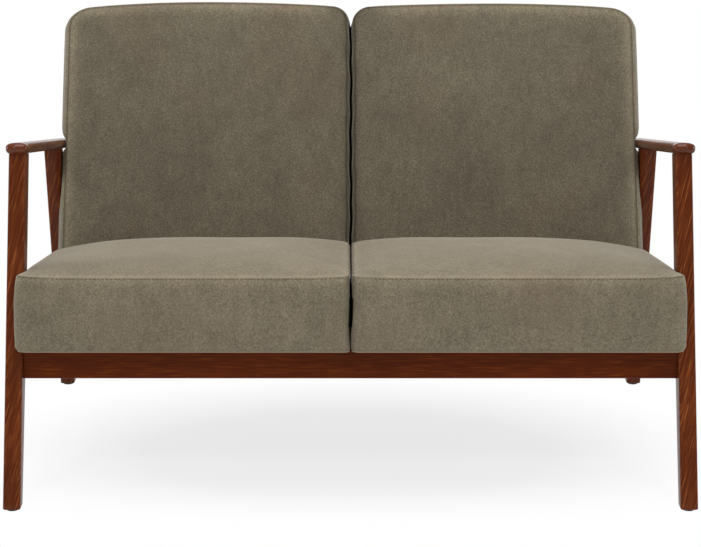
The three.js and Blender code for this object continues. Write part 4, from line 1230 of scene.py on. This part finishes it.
def cushion(side_name, unit, points, faces, place, shares, cloth):
    """A stuffed cover in its place, mirrored for the left side."""
    placed = pressed_together(place(points), SIDES[side_name])
    piece = new_piece(f"{side_name}_{unit}_cushion", placed, faces)
    for key, values in shares.items():
        set_values(piece, key, values)
    soften = piece.modifiers.new("soft", "SUBSURF")
    soften.levels = soften.render_levels = 1
    shade(piece, 180)
    settle(piece, cloth, "velour", f"{side_name}_{unit}_cover")
    # Faces deep in the gap get the near-black cloth without sheen: painted shade.
    piece.data.materials.append(GAP_SHADE_VELOUR)
    for polygon in piece.data.polygons:
        depth = min(shares["deep"][v] for v in polygon.vertices)
        polygon.material_index = int(depth > PAINTED_SHADE_FROM)
    return piece


def edge_gap(points, loop_points):
    """Distance from each point to the nearest point of a loop."""
    gaps = []
    for part in np.array_split(points, 24):
        gaps.append(np.linalg.norm(part[:, None] - loop_points[None], axis=-1).min(axis=1))
    return np.concatenate(gaps)


seat_gap = edge_gap(seat_full, seat_full[seat_edge])
back_gap = edge_gap(back_full, back_full[back_edge])
back_out = np.clip(np.abs(back_full[:, 0] / BACK_HALF * 2 - 1), 0, 1)
back_sag = BACK_SAG * (1 - back_out**2) * eased((back_full[:, 1] - BACK_TOP + 0.16) / 0.12)
back_sunk = {"left": back_full, "right": back_full - back_sag[:, None] * (0, 1, 0)}
seat_x, seat_y, seat_h = seat_full.T
# Painted shade: a share deep in the gap where the seats touch, and a lighter one near the gap.
seat_painted_contact_shade = eased((seat_y - 0.003) / 0.012) * eased((SEAM_HEIGHT - seat_h - 0.001) / 0.012)
seat_painted_gap_shade = PAINTED_GAP_SHADE * seam_shares(seat_x, 0.010) * (seat_h < SEAM_HEIGHT - 0.003)
# Shares: painted shade in the seams, a painted highlight beside them, painted shade at the gap.
seat_shares = {
    "seam": 0.75 * seam_shares(seat_gap, 0.0022),
    "painted_rim_light": 0.5 * seam_shares(seat_gap, 0.012) * (seat_x > CONTACT_REACH),
    "deep": np.maximum((seat_x < CONTACT_REACH) * seat_painted_contact_shade, seat_painted_gap_shade),
}
back_x, back_into = back_full[:, 0], back_full[:, 2]
# Painted shade deep in the gap between the backs, and a lighter one near it.
back_painted_contact_shade = (back_x < CONTACT_REACH) * eased((back_into - 0.006) / 0.010)
back_shares = {
    "seam": seam_shares(back_gap, 0.0024),
    "painted_rim_light": seam_shares(back_gap, 0.018) * eased((back_x - 0.03) / 0.06),
    "deep": np.maximum(back_painted_contact_shade, PAINTED_GAP_SHADE * seam_shares(back_x, 0.016)),
}
covers = {}
for side_name in SIDES:
    covers[side_name, "seat"] = cushion(
        side_name, "seat", seat_full, seat_faces, in_seat, seat_shares, VELOUR
    )
    covers[side_name, "back"] = cushion(
        side_name, "back", back_sunk[side_name], back_faces, in_back, back_shares, BACK_VELOUR_PAINTED_DARKER
    )
print("cushions:", ", ".join(piece.name for piece in covers.values()))

# %% [markdown]
# ## Seams and stitches
#
# The top panel of a seat is joined to its boxing by a row of stitches that shows as short dashes,
# and a thin welt is sewn round the lower edge; its paler colour is a painted highlight for the
# light that the rounded lower edge catches. Both follow the surface of the stuffed cover, so
# their path is laid on it after the stuffing. A cord is a tube swept along its path; a stitch is
# a short tube that dips at both ends.

# %% Seams and stitches
STITCH_LENGTH, STITCH_PITCH, STITCH_RADIUS = 0.0045, 0.0075, 0.00055
WELT_RADIUS = 0.0013


def normalised(vectors):
    """The same directions with a length of one."""
    return vectors / np.maximum(np.linalg.norm(vectors, axis=-1, keepdims=True), 1e-9)


def run_along(path):
    """Distance of each point of a path from its start, measured along it."""
    return np.concatenate([[0], np.cumsum(np.linalg.norm(np.diff(path, axis=0), axis=1))])


def sampled(at, marks, values):
    """Rows of three values read off between their marks."""
    return np.stack([np.interp(at, marks, values[:, k]) for k in range(3)], axis=-1)


def round_rings(path, first, second, radius, sides):
    """Circles of points round a path, each spanned by two directions."""
    turn = round_angles(sides)[:, None]
    spokes = np.cos(turn) * first[..., None, :] + np.sin(turn) * second[..., None, :]
    return path[..., None, :] + radius * spokes


def tube(path, radius, sides=8):
    """Closed tube round a closed path: each ring is set square to the path's own direction."""
    ahead = normalised(np.roll(path, -1, axis=0) - np.roll(path, 1, axis=0))
    first = normalised(np.cross(ahead, (0.0, 0.0, 1.0)))
    rings = round_rings(path, first, np.cross(ahead, first), radius, sides)
    quads = grid_quads(point_indices(len(path), sides), wrap_rows=1, wrap_columns=1)
    return rings.reshape(-1, 3), quads.tolist()


def even_path(path, step):
    """The same closed path with points at even distances."""
    closed = np.concatenate([path, path[:1]])
    run = run_along(closed)
    count = max(8, int(run[-1] / step))
    return sampled(np.linspace(0, run[-1], count, endpoint=False), run, closed)


def on_surface(piece, path, lift):
    """Each point of a path moved to the nearest point of a piece's surface, lifted off it."""
    tree = BVHTree.FromObject(piece, bpy.context.evaluated_depsgraph_get())
    near = [tree.find_nearest(Vector(p))[:2] for p in path]
    return np.array([tuple(q + n * lift) for q, n in near]), np.array([tuple(n) for _, n in near])


def stitches(path, normals):
    """Short dashes along a path: each a tube that is thick in the middle and dips at its ends."""
    run = run_along(path)
    starts = np.arange(0, run[-1] - STITCH_LENGTH, STITCH_PITCH)
    share = np.linspace(0, 1, 5)
    at = starts[:, None] + share[None] * STITCH_LENGTH
    out = normalised(sampled(at, run, normals))
    bulge = np.sin(math.pi * share)
    middle = sampled(at, run, path) + out * (0.6 * STITCH_RADIUS * (bulge - 0.9))[None, :, None]
    ahead = normalised(np.gradient(middle, axis=1))
    thick = STITCH_RADIUS * (0.35 + 0.65 * bulge)[:, None, None]
    forms = [skinned(rings) for rings in round_rings(middle, np.cross(ahead, out), out, thick, 6)]
    count = len(forms[0][0])
    points = np.concatenate([p for p, _ in forms])
    faces = [[i + k * count for i in f] for k, (_, fs) in enumerate(forms) for f in fs]
    return points, faces


def seat_line(h, inset):
    """A line round a seat unit at a height and inset, in the part's frame, at even distances."""
    return even_path(in_seat(seat_settled(seat_ring(h, inset))), 0.004)


for side_name, side in SIDES.items():
    seat = covers[side_name, "seat"]
    seam = seat_line(SEAM_HEIGHT - 0.0015, 0.0) * (side, 1, 1)
    dashes = stitches(*on_surface(seat, seam, 0.0))
    row = new_piece(f"{side_name}_seat_stitches", *dashes, closed=False)
    settle(shade(row, 180), SHADE_THREAD, "velour")
    # The welt is a real cord; its pale thread is a painted highlight on the lower edge.
    welt_line, _ = on_surface(seat, seat_line(0.0035, 0.0035) * (side, 1, 1), 0.0002)
    welt = new_piece(f"{side_name}_seat_welt", *tube(welt_line, WELT_RADIUS))
    settle(shade(welt, 180), THREAD, "velour")
    print(side_name, "seam and welt:", len(row.data.polygons), len(welt.data.polygons), "faces")

# %% [markdown]
# ## Rear panels and dust cloths
#
# The rear of each back unit is closed with a panel of the same cloth, and the underside of each
# seat with thin black cloth. Both are stretched flat and stapled, so they pull in slightly along
# their edges.

# %% Rear panels and dust cloths
PANEL_ACROSS, PANEL_ALONG = 60, 50


def resampled(ring, counts, new_counts):
    """The same four edges of a loop with other numbers of points."""
    closed = np.concatenate([ring, ring[:1]])
    marks = np.concatenate([[0], np.cumsum(counts)])
    at = np.concatenate([
        np.linspace(marks[k], marks[k + 1], new_counts[k], endpoint=False) for k in range(4)
    ])
    return sampled(at, np.arange(len(closed)), closed)


def panel_grid(ring, counts, depth, pucker):
    """Points of a flat sheet inside a ring, waved a little along its stapled edges."""
    loop = resampled(ring, counts * 2, [PANEL_ACROSS, PANEL_ALONG] * 2)
    grid = filled(loop, PANEL_ACROSS, PANEL_ALONG)
    u = np.linspace(0, 1, PANEL_ACROSS + 1)[None, :]
    v = np.linspace(0, 1, PANEL_ALONG + 1)[:, None]
    near_edge = np.exp(-np.minimum(np.minimum(u, 1 - u), np.minimum(v, 1 - v)) / 0.02)
    wave = np.sin(2 * math.pi * 14 * u) * np.sin(2 * math.pi * 12 * v + 0.7)
    grid[..., 2] = depth + pucker * near_edge * wave
    return grid


def stretched_panel(name, grid, place, side, thickness):
    """A sheet of cloth over the mouth of a cover, mirrored for the left side."""
    flat_points = grid.reshape(-1, 3)
    quads = grid_quads(point_indices(*grid.shape[:2])).tolist()
    piece = new_piece(name, place(flat_points) * (side, 1, 1), quads, closed=False)
    solid = piece.modifiers.new("thickness", "SOLIDIFY")
    solid.thickness, solid.offset = thickness, 0
    shade(piece, 60)
    return piece


dust_grid = panel_grid(seat_ring(0.0034, 0.0305), [SEAT_ACROSS, SEAT_ALONG], 0.0034, 0.0003)
rear_grid = panel_grid(back_ring(0.1112, 0.0310), [BACK_ACROSS, BACK_ALONG], 0.1108, 0.0004)
for side_name, side in SIDES.items():
    dust_cloth = stretched_panel(
        f"{side_name}_dust_cloth_dressed", dust_grid, in_seat, side, 0.0008,
    )
    settle(dust_cloth, DUST_CLOTH, "dust_cloth", f"{side_name}_seat_dust_cloth")
    rear_panel = stretched_panel(
        f"{side_name}_rear_panel_dressed", rear_grid, in_back, side, 0.0010,
    )
    settle(rear_panel, VELOUR, "velour", f"{side_name}_back_rear_panel")
    print(dust_cloth.name, rear_panel.name)

# %% [markdown]
# ## What the covers hide
#
# Inside, the seats hold a frame of raw beech, three straps and a block of foam, and the backs a
# board, two battens and foam. The foam and the straps get soft edges of their own. The boards,
# bolts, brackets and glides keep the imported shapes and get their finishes.

# %% What the covers hide
FOAM_DEPTH = 0.003


def soft_copy(node, material, slot, ease):
    """A copy of a packed soft solid, its doubles merged and its edges rounded."""
    piece = eased_board(node, [0, 1, 2], slot, material, ease)
    piece.modifiers["eased edges"].segments = 3
    return piece


def kept_inside(foam, cover, depth):
    """Presses a block of foam in wherever it stands less than a depth under its cover's surface."""
    surface = BVHTree.FromPolygons(
        [point.co for point in cover.data.vertices], [face.vertices for face in cover.data.polygons]
    )
    block = bmesh.new()
    block.from_mesh(foam.data)
    bmesh.ops.triangulate(block, faces=block.faces)
    bmesh.ops.subdivide_edges(block, edges=block.edges, cuts=4, use_grid_fill=True)
    pressed = []
    for point in block.verts:
        near, outward, _, _ = surface.find_nearest(point.co)
        proud = (point.co - near).dot(outward) + depth
        if proud > 0:
            point.co = near - depth * outward
            pressed.append(proud)
    block.to_mesh(foam.data)
    block.free()
    print(foam.name, len(pressed), "points pressed in by up to", round(max(pressed, default=0), 4))


for side_name in SIDES:
    for unit in ("seat", "back"):
        foam = soft_copy(f"{side_name}_{unit}_foam", FOAM, "foam", 0.002)
        kept_inside(foam, covers[side_name, unit], FOAM_DEPTH)
    for number in (1, 2, 3):
        soft_copy(f"{side_name}_seat_strap_{number}", WEBBING, "webbing", 0.0006)

FINISHES = {
    "hidden_beech": RAW_BEECH, "plywood": PLYWOOD, "steel": STEEL, "glide": GLIDE,
    "lacquered_beech": LACQUERED, "velour": VELOUR, "foam": FOAM, "webbing": WEBBING,
    "dust_cloth": DUST_CLOTH,
}
for subpart in frame["record"]["subparts"]:
    node = frame["nodes"][subpart["node"]]
    for material_slot in node.material_slots:
        material_slot.material = FINISHES[subpart["material_slot"]]

# %% [markdown]
# ## Floor and light
#
# A plain white floor runs out to all sides. One broad soft light hangs over the settee, a faint
# one stands in front of each armrest and one beside it, and the room gives the rest. The floor
# keeps the soft shadow under the seats. Far from the settee it is simply white.

# %% Floor and light
def floor_material():
    """White floor: lit near the settee, and plain white for the camera farther away."""
    floor = Finish("floor", (0.98, 0.99, 1.0), 0.9)
    floor.set("Specular IOR Level", 0.0)
    near = floor.node("ShaderNodeVectorMath", operation="LENGTH")
    floor.link(floor.coordinates(scale=(1.25, 2.15, 1), shift=(0, 0.19, 0)), near.inputs[0])
    share = floor.ramp(near.outputs["Value"], [(0.50, 0.76), (1.0, 1.0)])
    path = floor.node("ShaderNodeLightPath")
    seen = floor.math("MAXIMUM", path.outputs["Is Camera Ray"], path.outputs["Is Glossy Ray"])
    seen = floor.math("MAXIMUM", seen, path.outputs["Is Transmission Ray"])
    white = floor.node("ShaderNodeEmission", Color=(1, 1, 1, 1), Strength=1.0)
    mixed = floor.node("ShaderNodeMixShader")
    floor.link(floor.math("MULTIPLY", share, seen), mixed.inputs[0])
    floor.link(floor.shader.outputs[0], mixed.inputs[1])
    floor.link(white.outputs[0], mixed.inputs[2])
    floor.link(mixed.outputs[0], floor.tree.nodes["Material Output"].inputs["Surface"])
    return floor.material


def floor_piece():
    """A square of thirty metres at the height of the feet."""
    side = np.linspace(-15, 15, 7)
    x, y = np.meshgrid(side, side)
    points = np.stack([x, y, 0 * x], axis=-1).reshape(-1, 3)
    piece = new_piece("floor", points, grid_quads(point_indices(7, 7)).tolist(), closed=False)
    piece.data.materials.append(floor_material())
    piece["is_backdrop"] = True


def soft_light(name, place, aim_height, size, power):
    """A square soft light that faces the settee's middle at a height."""
    data = bpy.data.lights.new(name, "AREA")
    data.shape, data.size, data.energy = "SQUARE", size, power
    lamp = bpy.data.objects.new(name, data)
    scene.collection.objects.link(lamp)
    lamp.location = place
    aim = Vector((0, 0, aim_height)) - Vector(place)
    lamp.rotation_euler = aim.to_track_quat("-Z", "Y").to_euler()


LAMPS = {
    "overhead": ((0, -0.3, 2.9), 0.4, 2.2, 62),
    "left_front": ((-1.5, -2.2, 2.3), 0.4, 0.4, 10),
    "right_front": ((1.5, -2.2, 2.3), 0.4, 0.4, 10),
    "left_side": ((-2.6, 0.1, 0.9), 0.5, 1.0, 12),
    "right_side": ((2.6, 0.1, 0.9), 0.5, 1.0, 12),
}
ROOM_LIGHT = 0.40

floor_piece()
for name, settings in LAMPS.items():
    soft_light(name, *settings)
print("lamps:", ", ".join(LAMPS))

# %% [markdown]
# The camera sees the room as plain white, and the settee is lit by a dimmer white.

# %% Room
world = bpy.data.worlds.new("room")
world.use_nodes = True
room = world.node_tree
ray = room.nodes.new("ShaderNodeLightPath")
room_mix = room.nodes.new("ShaderNodeMixShader")
room.links.new(ray.outputs["Is Camera Ray"], room_mix.inputs[0])
backgrounds = [room.nodes["Background"], room.nodes.new("ShaderNodeBackground")]
for socket, background, strength in zip(room_mix.inputs[1:], backgrounds, (ROOM_LIGHT, 1.0)):
    background.inputs["Color"].default_value = (1, 1, 1, 1)
    background.inputs["Strength"].default_value = strength
    room.links.new(background.outputs[0], socket)
room.links.new(room_mix.outputs[0], room.nodes["World Output"].inputs["Surface"])
scene.world = world
scene.view_settings.view_transform = "Standard"

look_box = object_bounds()
for corner_name, a, b in zip(("low", "high"), part_box, look_box):
    print(corner_name, [round(float(v), 4) for v in a], [round(float(v), 4) for v in b])
